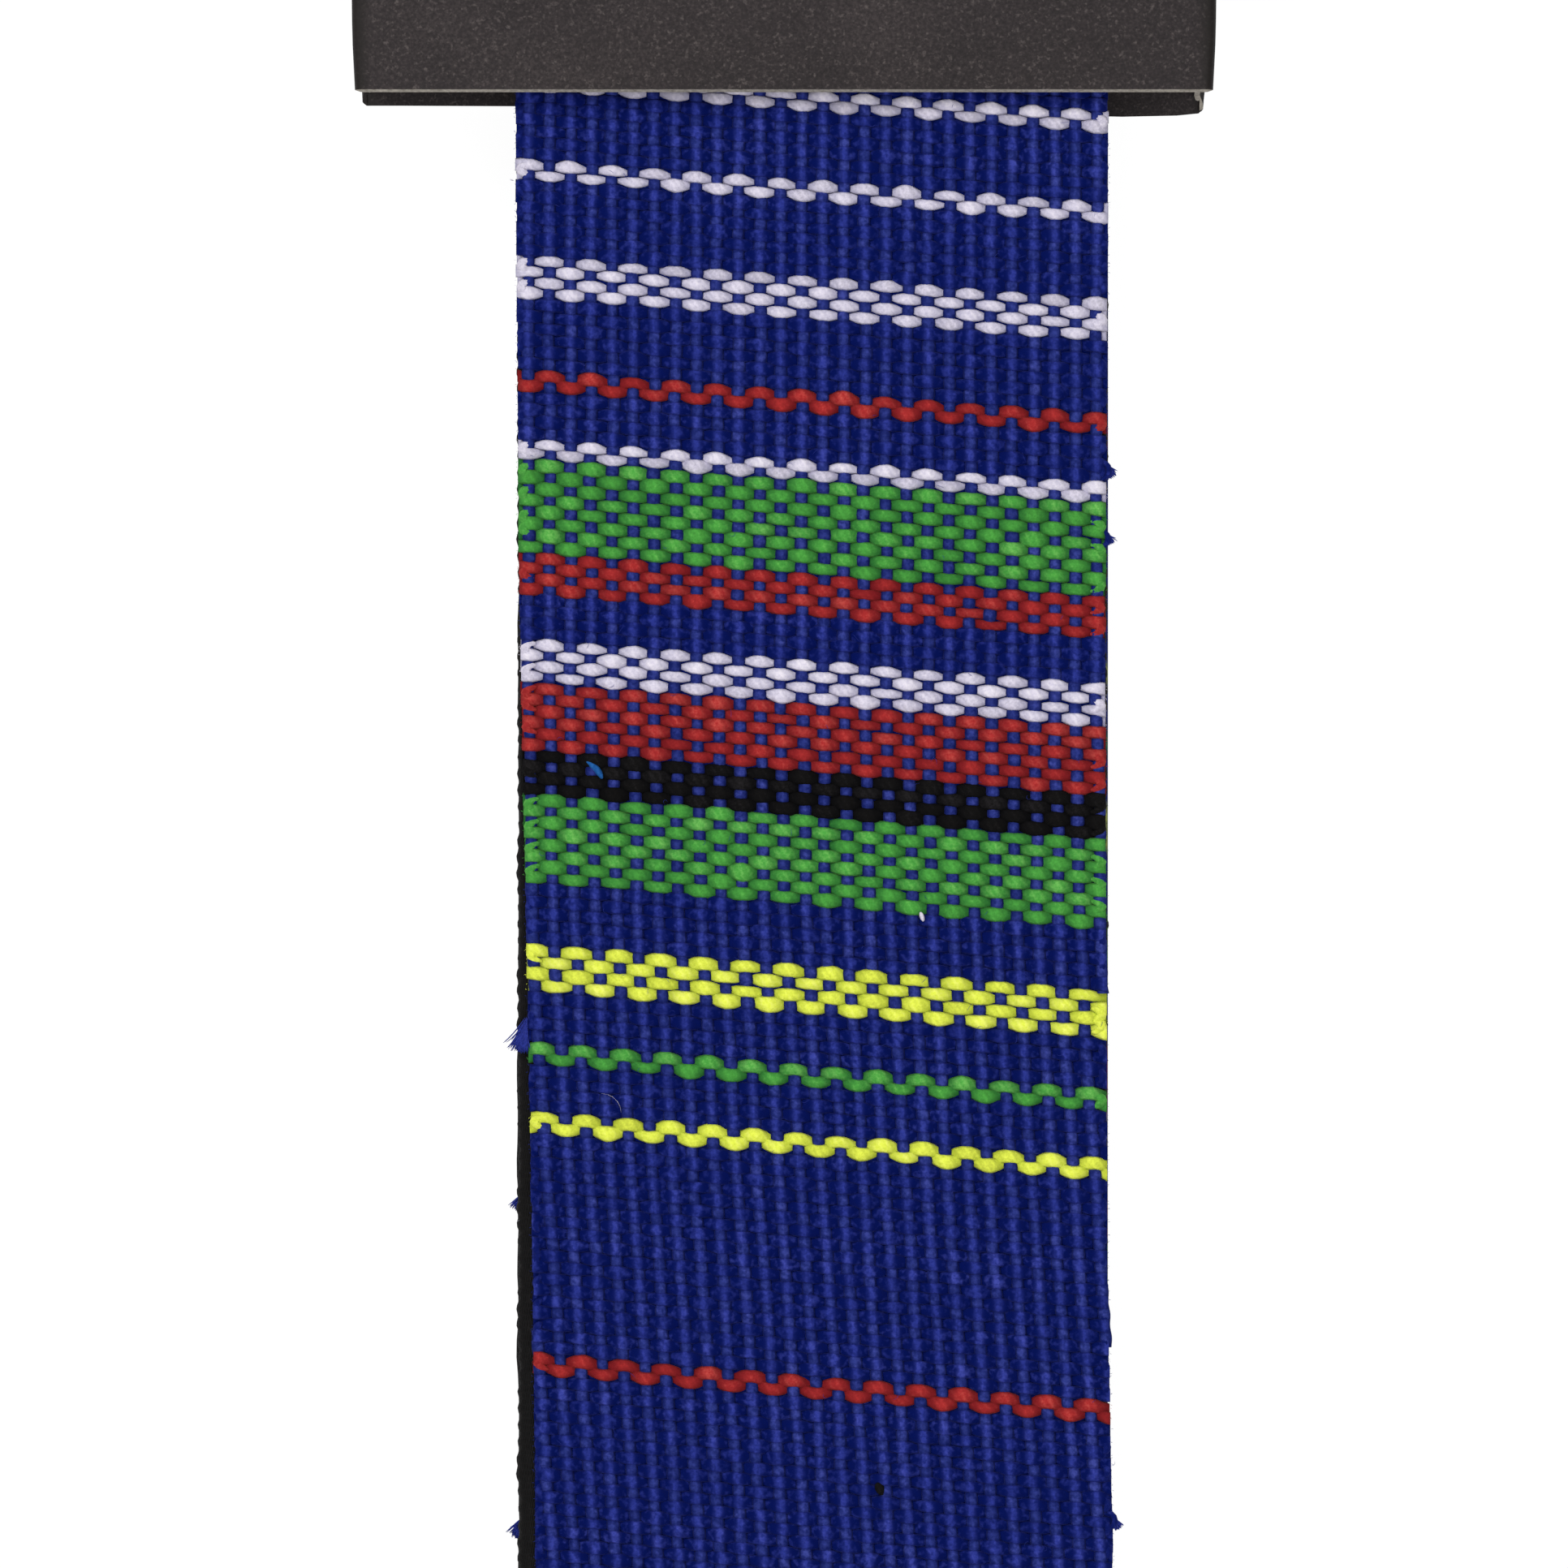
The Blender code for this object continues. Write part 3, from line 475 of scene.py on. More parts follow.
def pack_route():
    """From the flap that is sewn down, round the socket's bar, and down and up through the plies."""
    foot = LOOP_MIDDLE - LOOP_RADIUS
    top = LOOP_MIDDLE + LOOP_RADIUS
    corners = [
        (FLAP_END, FLAP_HEIGHT, 0),
        (FLAP_BEND, FLAP_HEIGHT, BEND_RADIUS),
        (LOOP_FOOT, foot, BEND_RADIUS),
        (BAR_ALONG + LOOP_RADIUS, foot, LOOP_RADIUS),
        (BAR_ALONG + LOOP_RADIUS, top, LOOP_RADIUS),
        (LOOP_SHOULDER, top, BEND_RADIUS),
        (PACK_START, TOP_PLY, BEND_RADIUS),
    ]
    for pair in range(PLY_PAIRS):
        upper = TOP_PLY - 2 * pair * PLY_PITCH
        stagger = (pair % 2) * FOLD_STAGGER
        corners.append((BOTTOM_FOLD + stagger, upper, PLY_PITCH / 2))
        corners.append((BOTTOM_FOLD + stagger, upper - PLY_PITCH, PLY_PITCH / 2))
        if pair + 1 < PLY_PAIRS:
            corners.append((TOP_FOLD - stagger, upper - PLY_PITCH, PLY_PITCH / 2))
            corners.append((TOP_FOLD - stagger, upper - 2 * PLY_PITCH, PLY_PITCH / 2))
    corners.append((END_JOIN - LAYER_GAP, BOTTOM_PLY, 0))
    return Route(settled(rounded_route(corners)))


def end_route():
    """From under the sleeve, round the bight, through the ladder and out to the tail."""
    corners = [
        (END_JOIN, BOTTOM_PLY, 0),
        (BIGHT_ALONG, BOTTOM_PLY, BIGHT_RADIUS),
        (BIGHT_ALONG, LOAD_HEIGHT, BIGHT_RADIUS),
        (OUTER_SLOT, LOAD_HEIGHT, LADDER_BEND),
        (OUTER_SLOT, UNDER_HEIGHT, LADDER_BEND),
        (INNER_SLOT, UNDER_HEIGHT, LADDER_BEND),
        (INNER_SLOT, TAIL_HEIGHT, LADDER_BEND),
        (TAIL_END, TAIL_HEIGHT, 0),
    ]
    return Route(rounded_route(corners))


PACK = pack_route()
END = end_route()
EDGE_TRAVEL = PACK.travel_near(0, TOP_PLY)


def new_object(name, mesh, material):
    piece = bpy.data.objects.new(name, mesh)
    bpy.context.scene.collection.objects.link(piece)
    mesh.materials.append(material)
    return piece


def add_attribute(mesh, name, kind, values):
    made = mesh.attributes.new(name, kind, "POINT")
    made.data.foreach_set("color" if kind == "FLOAT_COLOR" else "value", values.astype(np.float32).ravel())


def turn_outward(mesh):
    """Faces turned out, judged by the sign of the volume that they enclose."""
    mesh.calc_loop_triangles()
    corners = np.empty(len(mesh.loop_triangles) * 3, np.int32)
    mesh.loop_triangles.foreach_get("vertices", corners)
    spots = np.empty(len(mesh.vertices) * 3, np.float32)
    mesh.vertices.foreach_get("co", spots)
    spots = spots.reshape(-1, 3)
    first, second, third = (spots - spots.mean(0))[corners.reshape(-1, 3)].transpose(1, 0, 2)
    if np.einsum("ij,ij->", first, np.cross(second, third)) < 0:
        mesh.flip_normals()


def rings_mesh(name, strands):
    """One mesh of closed tubes, from strands of rings, the length at each ring, and values for its points."""
    count = strands[0]["rings"].shape[1]
    corners = np.arange(count)
    beyond = (corners + 1) % count
    faces, reach, turns, rows = [], [], [], []
    base = 0
    for row, strand in enumerate(strands):
        steps = len(strand["rings"])
        start = base + np.arange(steps - 1)[:, None] * count
        ahead = start + count
        quads = np.stack([start + corners, start + beyond, ahead + beyond, ahead + corners], -1)
        faces += quads.reshape(-1, 4).tolist()
        faces.append((base + corners[::-1]).tolist())
        faces.append((base + (steps - 1) * count + corners).tolist())
        length = np.repeat(strand["length"][:, None], count, axis=1)
        near, far = length[:-1], length[1:]
        reach += [np.stack([near, near, far, far], -1).ravel(), np.repeat(strand["length"][[0, -1]], count)]
        turn = np.stack([corners, corners + 1, corners + 1, corners], -1) / count
        turns += [np.tile(turn.ravel(), steps - 1), corners[::-1] / count, corners / count]
        rows.append(np.full((steps - 1) * count * 4 + 2 * count, row))
        base += steps * count
    spots = np.concatenate([strand["rings"].reshape(-1, 3) for strand in strands])
    mesh = bpy.data.meshes.new(name)
    mesh.from_pydata(spots.tolist(), [], faces)
    reach, turns, rows = np.concatenate(reach), np.concatenate(turns), np.concatenate(rows)
    strips = (rows + 0.1 + 0.8 * turns) / len(strands)
    for layer, along, across in (("yarn", reach, turns), ("OFBake", reach / reach.max(), strips)):
        mesh.uv_layers.new(name=layer).uv.foreach_set("vector", np.stack([along, across], -1).ravel())
    for value in ("shade", "height"):
        spread = [np.broadcast_to(strand[value], strand["rings"].shape[:2]).ravel() for strand in strands]
        add_attribute(mesh, value, "FLOAT", np.concatenate(spread))
    turn_outward(mesh)
    mesh.shade_smooth()
    return mesh


def thread_tube(path, radius):
    """Rings round a path of points, for a thread that bends little."""
    path = np.array(path)
    ahead = np.gradient(path, axis=0)
    ahead /= np.linalg.norm(ahead, axis=1)[:, None]
    helper = np.array([0, 0, 1]) if abs(ahead[len(path) // 2][2]) < 0.8 else np.array([1, 0, 0])
    aside = np.cross(ahead, helper)
    aside /= np.linalg.norm(aside, axis=1)[:, None]
    up = np.cross(aside, ahead)
    angles = np.linspace(0, 2 * math.pi, THREAD_SIDES, endpoint=False)
    spokes = np.cos(angles)[:, None] * aside[:, None] + np.sin(angles)[:, None] * up[:, None]
    rings = path[:, None] + np.reshape(radius, (-1, 1, 1)) * spokes
    length = np.concatenate([[0], np.cumsum(np.linalg.norm(np.diff(path, axis=0), axis=1))])
    return {"rings": rings, "length": length, "shade": 0.5, "height": 1}


def wander(places, painted_shade_tone, size):
    """Smooth wandering of a given size, with a new aim every gap."""
    knots = np.arange(places.min() - painted_shade_tone, places.max() + 2 * painted_shade_tone, painted_shade_tone)
    return np.interp(places, knots, RANDOM.normal(0, size, len(knots)))


def band_leans(colour, picks):
    """How far the outer picks of a stripe lean in to its middle where they dip under the warp."""
    leans = np.zeros(picks)
    leans[0], leans[-1] = 2 / picks, -2 / picks
    return leans * YARN_LEANS[colour]


def draft_rows(first, last):
    """Index, place, colour and lean of each pick of weft between two distances from the sleeve's edge."""
    pitches = np.concatenate([[pitch] * picks for _, picks, pitch in DRAFT])
    colours = [colour for colour, picks, _ in DRAFT for _ in range(picks)]
    leans = np.concatenate([band_leans(colour, picks) for colour, picks, _ in DRAFT])
    repeat = pitches.sum()
    cycles = range(math.floor((first - DRAFT_START) / repeat), math.ceil((last - DRAFT_START) / repeat))
    rows = []
    for cycle in cycles:
        places = DRAFT_START + cycle * repeat + np.cumsum(pitches) - pitches / 2
        for pick, row in enumerate(zip(places, colours, leans)):
            rows.append((cycle * len(colours) + pick, *row))
    return [row for row in rows if first <= row[1] <= last]


def cloth_edges(below):
    return np.interp(below, CLOTH_TRAVEL, CLOTH_LEFT), np.interp(below, CLOTH_TRAVEL, CLOTH_RIGHT)


def warp_drift(below):
    return np.interp(below, DRIFT_TRAVEL, WARP_DRIFT)


def weft_slope(below):
    return np.interp(below, SLOPE_TRAVEL, WEFT_SLOPE)


def column_at(across, below):
    """Which warp end, as a number that counts up across the cloth, lies at a place."""
    return (across - warp_drift(below) + HALF_WIDTH) / WARP_PITCH - 0.5


def crest_share(lift):
    """How high a place stands in the weave, from 0 deep between the yarns to 1 on a crest."""
    return np.clip((lift - FACE_LIFT + CREST_FOOT) / (CREST + CREST_FOOT), 0, 1)


def yarn_steps(colour, place):
    """The points of a pick to each warp end: more in the stripes, and fewer outside the picture."""
    steps = WEFT_STEPS if colour == "blue" else ACCENT_STEPS
    return steps if 0 < place < SHOWN_LENGTH else steps - FEWER_STEPS


def weft_strand(route, edge_travel, row):
    """One pick of weft from cut edge to cut edge, over and under the warp by turns."""
    pick, place, colour, lean = row
    left, right = cloth_edges(place)
    left += RANDOM.normal(0, EDGE_SPREAD)
    right += RANDOM.normal(0, EDGE_SPREAD)
    steps = round((right - left) / WARP_PITCH) * yarn_steps(colour, place)
    across = np.linspace(left, right, steps + 1)
    below = place + weft_slope(place) * (across + HALF_WIDTH) + wander(across, *WEFT_SWAY)
    column = column_at(across, below)
    over = np.cos(math.pi * (column + pick))
    below += lean * (1 - over)
    girths = RANDOM.normal(1, GIRTH_SPREAD, len(GIRTH_COLUMNS))
    plump = YARN_GIRTHS[colour] * np.interp(column, GIRTH_COLUMNS, girths)
    taper = YARN_TAPERS[colour]
    half_width = WEFT_HALF_WIDTH * plump * (1 - taper + taper * over)
    from_edge = np.minimum(across - left, right - across)
    flare = np.clip((EDGE_FLARE - from_edge) / EDGE_FADE, 0, 1)
    half_width = np.maximum(half_width, EDGE_HALF_WIDTH * flare)
    closing = np.sqrt(np.clip(from_edge / EDGE_ROUND, 0.1, 1))
    middle = FACE_LIFT + WEFT_RISE * over * plump + wander(across, *WEFT_HEAVE)
    travel = edge_travel + below[:, None] + half_width[:, None] * np.cos(YARN_SECTION)
    lift = middle[:, None] + WEFT_HALF_HEIGHT * (plump * closing)[:, None] * np.sin(YARN_SECTION)
    return {
        "rings": route.spots(travel, across[:, None], lift),
        "length": across - left,
        "shade": (RANDOM.normal(0.5, WEFT_SHADES) + wander(across, *WEFT_DYE))[:, None],
        # Painted shade: height darkens the pick where it lies low in the weave
        "height": (0.5 + 0.5 * over)[:, None] if colour == "blue" else crest_share(lift),
    }


def warp_strand(route, edge_travel, column, rows):
    """One warp end, for as long as it lies between the cloth's cut edges."""
    picks = np.array([row[0] for row in rows])
    places = np.array([row[1] for row in rows])
    below = np.linspace(places[0], places[-1], len(rows) * WARP_STEPS)
    across = -HALF_WIDTH + (column + 0.5) * WARP_PITCH + warp_drift(below) + wander(below, *WARP_SWAY)
    left, right = cloth_edges(below)
    inside = (across > left + WARP_INSET) & (across < right - WARP_INSET)
    if inside.sum() < 2 * WARP_STEPS:
        return None
    below, across = below[inside], across[inside]
    pick = np.interp(below - weft_slope(below) * (across + HALF_WIDTH), places, picks)
    over = -np.cos(math.pi * (column + pick))
    plump = 1 + wander(below, *WARP_SWELL)
    half_width = WARP_HALF_WIDTH * plump * (1 - WARP_TAPER + WARP_TAPER * over)
    middle = FACE_LIFT + WARP_RISE * over
    lift = middle[:, None] + WARP_HALF_HEIGHT * plump[:, None] * np.sin(YARN_SECTION)
    spread = across[:, None] + half_width[:, None] * np.cos(YARN_SECTION)
    return {
        "rings": route.spots(edge_travel + below[:, None], spread, lift),
        "length": below - below[0],
        "shade": (RANDOM.normal(0.5, WARP_SHADES) + wander(below, *WARP_DYE))[:, None],
        # Painted shade: height darkens the warp's sides and underside, and where it dips under the weft
        "height": (0.5 + 0.5 * np.sin(YARN_SECTION)) * (1 - WARP_DIP_SHADE + WARP_DIP_SHADE * over)[:, None],
    }


def weft_turn(route, edge_travel, below, pitch, side, reach, bulk):
    """A turn of weft round the cloth's edge, from one pick to the next."""
    inset, radius, lift = bulk
    edge = cloth_edges(below)[1 if side == "right" else 0]
    outward = 1 if side == "right" else -1
    angles = np.linspace(-math.pi / 2, math.pi / 2, TURN_RINGS)
    across = edge + outward * ((reach - radius + inset) * np.cos(angles) - inset)
    travel = edge_travel + below + weft_slope(below) * (edge + HALF_WIDTH) + pitch / 2 * np.sin(angles)
    path = route.spots(travel, across, FACE_LIFT + lift)
    turn = thread_tube(path, radius * np.cos(angles * TURN_CLOSING) ** TURN_BLUNTNESS)
    # Painted shade: one fixed height, which darkens the whole turn
    return turn | {"height": TURN_SHADE_LEVEL}


def edge_turns(route, edge_travel, rows):
    """The turn, by pick, that leads each pick to the next of its colour, at one edge and then the other."""
    turns = {}
    for (pick, place, colour, _), (_, beyond, next_colour, _) in zip(rows, rows[1:]):
        if colour == next_colour:
            side = "left" if (pick // TURN_RUN + pick) % 2 else "right"
            middle = (place + beyond) / 2
            bulk = GROUND_TURN if colour == "blue" else STRIPE_TURN
            turns[pick] = weft_turn(route, edge_travel, middle, beyond - place, side, TURN_REACH, bulk)
    return turns


def make_ground(name, route, edge_travel, first, last):
    """A dark blue sheet that fills the gaps between the yarns: the yarns deep in them, painted in their
    shade.
    """
    along = np.arange(first, last, GROUND_STEP)
    left, right = cloth_edges(along)
    columns = np.stack([left + GROUND_INSET, (left + right) / 2, right - GROUND_INSET], axis=1)
    across = np.concatenate([columns, columns[:, ::-1]], axis=1)
    lift = FACE_LIFT - np.repeat(GROUND_DEPTHS, columns.shape[1])
    strand = {
        "rings": route.spots(edge_travel + along[:, None], across, lift),
        "length": along - first,
        "shade": 0.5,
        "height": 1,
    }
    return new_object(name, rings_mesh(name, [strand]), GROUND_SHADE_MATERIAL)


def weft_pieces(rows, middle):
    """Name, colour and picks of each piece of weft: one for a colour, and two for the many blue picks."""
    pieces = []
    for colour in YARN_COLOURS:
        own = [row for row in rows if row[2] == colour]
        if colour == "blue":
            pieces.append(("blue_weft_upper", colour, [row for row in own if row[1] < middle]))
            pieces.append(("blue_weft_lower", colour, [row for row in own if row[1] >= middle]))
        else:
            pieces.append((f"{colour}_weft", colour, own))
    return [piece for piece in pieces if piece[2]]


def make_weave(prefix, route, edge_travel, first, last, body):
    """The yarns of a stretch of the face: pieces of weft by colour, and of warp by its place across."""
    rows = draft_rows(first - WEFT_FALL, last)
    turns = edge_turns(route, edge_travel, rows)
    pieces = [make_ground(f"{prefix}_ground", route, edge_travel, first, last)]
    for part, colour, picks in weft_pieces(rows, (first + last) / 2):
        strands = [weft_strand(route, edge_travel, row) for row in picks]
        strands += [turns[row[0]] for row in picks if row[0] in turns]
        name = f"{prefix}_{part}"
        pieces.append(new_object(name, rings_mesh(name, strands), YARN_MATERIALS[colour]))
    ends = [warp_strand(route, edge_travel, column, rows) for column in WARP_COLUMNS]
    ends = [end for end in ends if end]
    share = math.ceil(len(ends) / len(WARP_PARTS))
    for part, place in enumerate(WARP_PARTS):
        name = f"{prefix}_{place}_warp"
        mesh = rings_mesh(name, ends[part * share:(part + 1) * share])
        pieces.append(new_object(name, mesh, WARP_MATERIAL))
    for piece in pieces:
        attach(piece, body)
    return pieces


def loose_thread(below, across, heading, length, bend, radius, lift):
    """A thread on the cloth that sets off on a heading, in degrees clockwise from across, and bends."""
    share = np.linspace(0, 1, THREAD_RINGS if radius > FINE_RADIUS else FINE_RINGS)
    angles = np.radians(heading + bend * share)
    across = across + np.cumsum(np.cos(angles)) * length / len(share)
    travel = EDGE_TRAVEL + below + np.cumsum(np.sin(angles)) * length / len(share)
    fullness = np.sqrt(np.clip(4 * share * (1 - share), 0.1, 1))
    return thread_tube(PACK.spots(travel, across, lift), radius * fullness)


def edge_fibres(row):
    """The few fibres that stand out of one pick's cut ends."""
    place = row[1]
    fibres = []
    for edge, outward in zip(cloth_edges(place), (180, 0)):
        below = place + weft_slope(place) * (edge + HALF_WIDTH)
        for _ in range(END_FIBRES):
            start = below + RANDOM.normal(0, END_SCATTER)
            heading = outward + RANDOM.normal(0, END_HEADINGS)
            length = RANDOM.uniform(*END_LENGTHS)
            bend = RANDOM.normal(0, END_BENDS)
            fibres.append(loose_thread(start, edge, heading, length, bend, FIBRE_RADIUS, FACE_LIFT))
    return fibres


def frayed_fibres(below, edge, lift, heading, reach, count):
    """A fan of fibres where picks have frayed at an edge."""
    fibres = []
    for _ in range(count):
        start = below + RANDOM.uniform(*FRAY_STARTS) * reach
        length = (below + reach - start) * RANDOM.uniform(*FRAY_RUNS)
        turned = heading + RANDOM.uniform(-FRAY_FAN, FRAY_FAN)
        height = lift + RANDOM.uniform(-FRAY_HEIGHTS, FRAY_HEIGHTS)
        bend = RANDOM.normal(0, FRAY_BENDS)
        fibres.append(loose_thread(start, edge, turned, length, bend, FRAY_RADIUS, height))
    return fibres


def make_loose_fibres():
    """What stands off the front of the cloth: loose turns, slubs, flecks, frayed ends and fuzz."""
    top = FACE_LIFT + CREST
    loose = {colour: [] for colour in LOOSE_MATERIALS}
    for side, below, reach in LOOSE_TURNS:
        loose["blue"].append(weft_turn(PACK, EDGE_TRAVEL, below, LOOSE_PITCH, side, reach, LOOSE_TURN))
    for colour, below, across, heading, length, bend, radius in STRAYS:
        left, right = cloth_edges(below)
        lift = top - STRAY_SUNK * radius if left < across < right else -LAYER_GAP
        loose[colour].append(loose_thread(below, across, heading, length, bend, radius, lift))
    for row in draft_rows(0, SHOWN_LENGTH):
        loose[row[2]] += edge_fibres(row)
    for fray in FRAYS:
        loose["blue"] += frayed_fibres(*fray)
    for _ in range(FUZZ_FIBRES):
        below = RANDOM.uniform(0, SHOWN_LENGTH)
        across = RANDOM.uniform(*cloth_edges(below))
        length = RANDOM.uniform(*FUZZ_LENGTHS)
        lift = top + RANDOM.uniform(*FUZZ_HEIGHTS)
        heading = RANDOM.uniform(0, 360)
        bend = RANDOM.normal(0, FUZZ_BENDS)
        loose["blue"].append(loose_thread(below, across, heading, length, bend, FIBRE_RADIUS, lift))
    for colour, threads in loose.items():
        name = f"loose_{colour}"
        piece = new_object(name, rings_mesh(name, threads), LOOSE_MATERIALS[colour])
        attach(piece, "root")
        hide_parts("woven_face")


def node(material, kind, **values):
    made = material.node_tree.nodes.new(kind)
    for name, value in values.items():
        setattr(made, name, value)
    return made


def link(material, source, target):
    material.node_tree.links.new(source, target)


def new_material(name):
    material = bpy.data.materials.new(name)
    material.use_nodes = True
    return material, material.node_tree.nodes["Principled BSDF"]


def math_node(material, operation, first, second=None, third=None):
    """A Math node of inputs that are numbers or sockets; returns its output."""
    made = node(material, "ShaderNodeMath", operation=operation)
    for socket, value in zip(made.inputs, (first, second, third)):
        if isinstance(value, (int, float)):
            socket.default_value = value
        elif value is not None:
            link(material, value, socket)
    return made.outputs[0]


def ramp(material, factor, *stops):
    """A colour ramp of (place, colour) stops; returns its colour output."""
    made = node(material, "ShaderNodeValToRGB")
    elements = made.color_ramp.elements
    while len(elements) < len(stops):
        elements.new(0.5)
    for element, (place, colour) in zip(elements, stops):
        element.position = place
        element.color = (*colour, 1)
    link(material, factor, made.inputs["Fac"])
    return made.outputs["Color"]


def scaled(colour, factor):
    return tuple(min(1, value * factor) for value in colour)


def mixed(material, factor, first, second):
    """A mix of two colours, each a constant or a socket; returns its colour output."""
    made = node(material, "ShaderNodeMix", data_type="RGBA")
    link(material, factor, made.inputs[0])
    for socket, value in ((made.inputs[6], first), (made.inputs[7], second)):
        if isinstance(value, tuple):
            socket.default_value = (*value, 1)
        else:
            link(material, value, socket)
    return made.outputs[2]


def noise(material, scale, detail=3):
    place = node(material, "ShaderNodeTexCoord")
    made = node(material, "ShaderNodeTexNoise")
    made.inputs["Scale"].default_value = scale
    made.inputs["Detail"].default_value = detail
    link(material, place.outputs["Object"], made.inputs["Vector"])
    return made.outputs["Fac"]


def soft_step(material, value, low, high, most):
    """A smooth rise from 0, where a socket's value is low, to most, where it is high; returns its output."""
    made = node(material, "ShaderNodeMapRange", interpolation_type="SMOOTHSTEP")
    link(material, value, made.inputs["Value"])
    made.inputs["From Min"].default_value = low
    made.inputs["From Max"].default_value = high
    made.inputs["To Max"].default_value = most
    return made.outputs["Result"]


def bumped(material, shader, relief, strength, distance):
    bump = node(material, "ShaderNodeBump")
    bump.inputs["Strength"].default_value = strength
    bump.inputs["Distance"].default_value = distance
    link(material, relief, bump.inputs["Height"])
    link(material, bump.outputs["Normal"], shader.inputs["Normal"])


def yarn_material(name, colours, depth, shade_unevenness):
    """Twisted cotton: fibres that wind round the yarn, uneven dye, and painted shade deep between the ribs,
    in uneven patches.
    """
    painted_shade_tone, body, light = colours
    material, shader = new_material(name)
    yarn = node(material, "ShaderNodeUVMap", uv_map="yarn")
    parts = node(material, "ShaderNodeSeparateXYZ")
    link(material, yarn.outputs["UV"], parts.inputs[0])
    turns = math_node(material, "MULTIPLY_ADD", parts.outputs["X"], 1 / TWIST_LENGTH, parts.outputs["Y"])
    twist = math_node(material, "SINE", math_node(material, "MULTIPLY", turns, 4 * math.pi))
    fibre = noise(material, scale=5200)
    shade = node(material, "ShaderNodeAttribute", attribute_name="shade").outputs["Fac"]
    height = node(material, "ShaderNodeAttribute", attribute_name="height").outputs["Fac"]
    tone = math_node(material, "MULTIPLY_ADD", twist, 0.08, math_node(material, "SUBTRACT", shade, 0.3))
    tone = math_node(material, "MULTIPLY_ADD", fibre, 0.9, math_node(material, "SUBTRACT", tone, 0.15))
    tint = ramp(material, tone, (0.1, scaled(body, 0.7)), (0.5, body), (0.95, light))
    # Painted shade: the yarn runs into its shade colour where its height is low, more in some patches than in
    # others
    shade_patches = noise(material, scale=2700, detail=2)
    shade_patches = math_node(material, "MULTIPLY_ADD", shade_patches, shade_unevenness, 1 - shade_unevenness / 2)
    unshaded_share = math_node(material, "MULTIPLY", math_node(material, "POWER", height, depth), shade_patches)
    shade_lift = math_node(material, "SUBTRACT", noise(material, scale=1700, detail=2), 0.5)
    shade_lift = math_node(material, "MAXIMUM", shade_lift, 0.0)
    unshaded_share = math_node(material, "MULTIPLY_ADD", shade_lift, shade_unevenness, unshaded_share)
    unshaded_share = math_node(material, "MINIMUM", unshaded_share, 1.0)
    link(material, mixed(material, unshaded_share, painted_shade_tone, tint), shader.inputs["Base Color"])
    relief = math_node(material, "MULTIPLY_ADD", twist, 0.5, fibre)
    bumped(material, shader, relief, strength=0.5, distance=0.06 * MM)
    shader.inputs["Roughness"].default_value = 0.92
    shader.inputs["Specular IOR Level"].default_value = 0.05
    shader.inputs["Sheen Weight"].default_value = 0.35
    shader.inputs["Sheen Roughness"].default_value = 0.6
    shader.inputs["Sheen Tint"].default_value = (*light, 1)
    return material


YARN_MATERIALS = {
    colour: yarn_material(f"{colour}_weft", tints, YARN_SHADE_DEPTHS[colour], YARN_SHADE_UNEVENNESS[colour])
    for colour, tints in YARN_COLOURS.items()
}
WARP_MATERIAL = yarn_material("blue_warp", WARP_COLOURS, WARP_SHADE_DEPTH, YARN_SHADE_UNEVENNESS["blue"])
GROUND_SHADE_MATERIAL = yarn_material("blue_ground_shade", GROUND_SHADE_COLOURS, PLAIN_SHADE_DEPTH, PLAIN_SHADE_UNEVENNESS)
PALE_MATERIAL = yarn_material("pale_slub", PALE_COLOURS, PLAIN_SHADE_DEPTH, PLAIN_SHADE_UNEVENNESS)
LOOSE_MATERIALS = YARN_MATERIALS | {"pale": PALE_MATERIAL}


def dull_black(material, shader, weave, height):
    """Black cloth: painted highlight where its weave stands up and painted shade in its gaps, and rough with
    fibres.
    """
    painted_shade_tone, body, light = WEBBING_COLOURS
    fibre = noise(material, scale=4200)
    # The tone follows the weave as painted highlight and shade, and the fibre noise as random tone
    tone = math_node(material, "MULTIPLY_ADD", weave, 0.2, fibre)
    tint = ramp(material, tone, (0.25, painted_shade_tone), (0.55, body), (0.9, light))
    link(material, mixed(material, height, painted_shade_tone, tint), shader.inputs["Base Color"])
    relief = math_node(material, "MULTIPLY_ADD", weave, 0.8, fibre)
    bumped(material, shader, relief, strength=0.6, distance=0.09 * MM)
    shader.inputs["Roughness"].default_value = 0.85
    shader.inputs["Specular IOR Level"].default_value = 0.2
    shader.inputs["Sheen Weight"].default_value = 0.05


def waves(material, travel, turns):
    """A wave along a socket, so many turns to its unit; returns its output."""
    return math_node(material, "SINE", math_node(material, "MULTIPLY", travel, 2 * math.pi * turns))


def webbing_material():
    """Close black webbing: cords along it, crossed by fine rows."""
    material, shader = new_material("black_webbing")
    yarn = node(material, "ShaderNodeUVMap", uv_map="yarn")
    parts = node(material, "ShaderNodeSeparateXYZ")
    link(material, yarn.outputs["UV"], parts.inputs[0])
    rows = waves(material, parts.outputs["X"], 1 / WEBBING_ROW)
    cords = waves(material, parts.outputs["Y"], round(4 * HALF_WIDTH / WEBBING_CORD))
    weave = math_node(material, "MULTIPLY", rows, cords)
    height = node(material, "ShaderNodeAttribute", attribute_name="height").outputs["Fac"]
    dull_black(material, shader, weave, height)
    return material


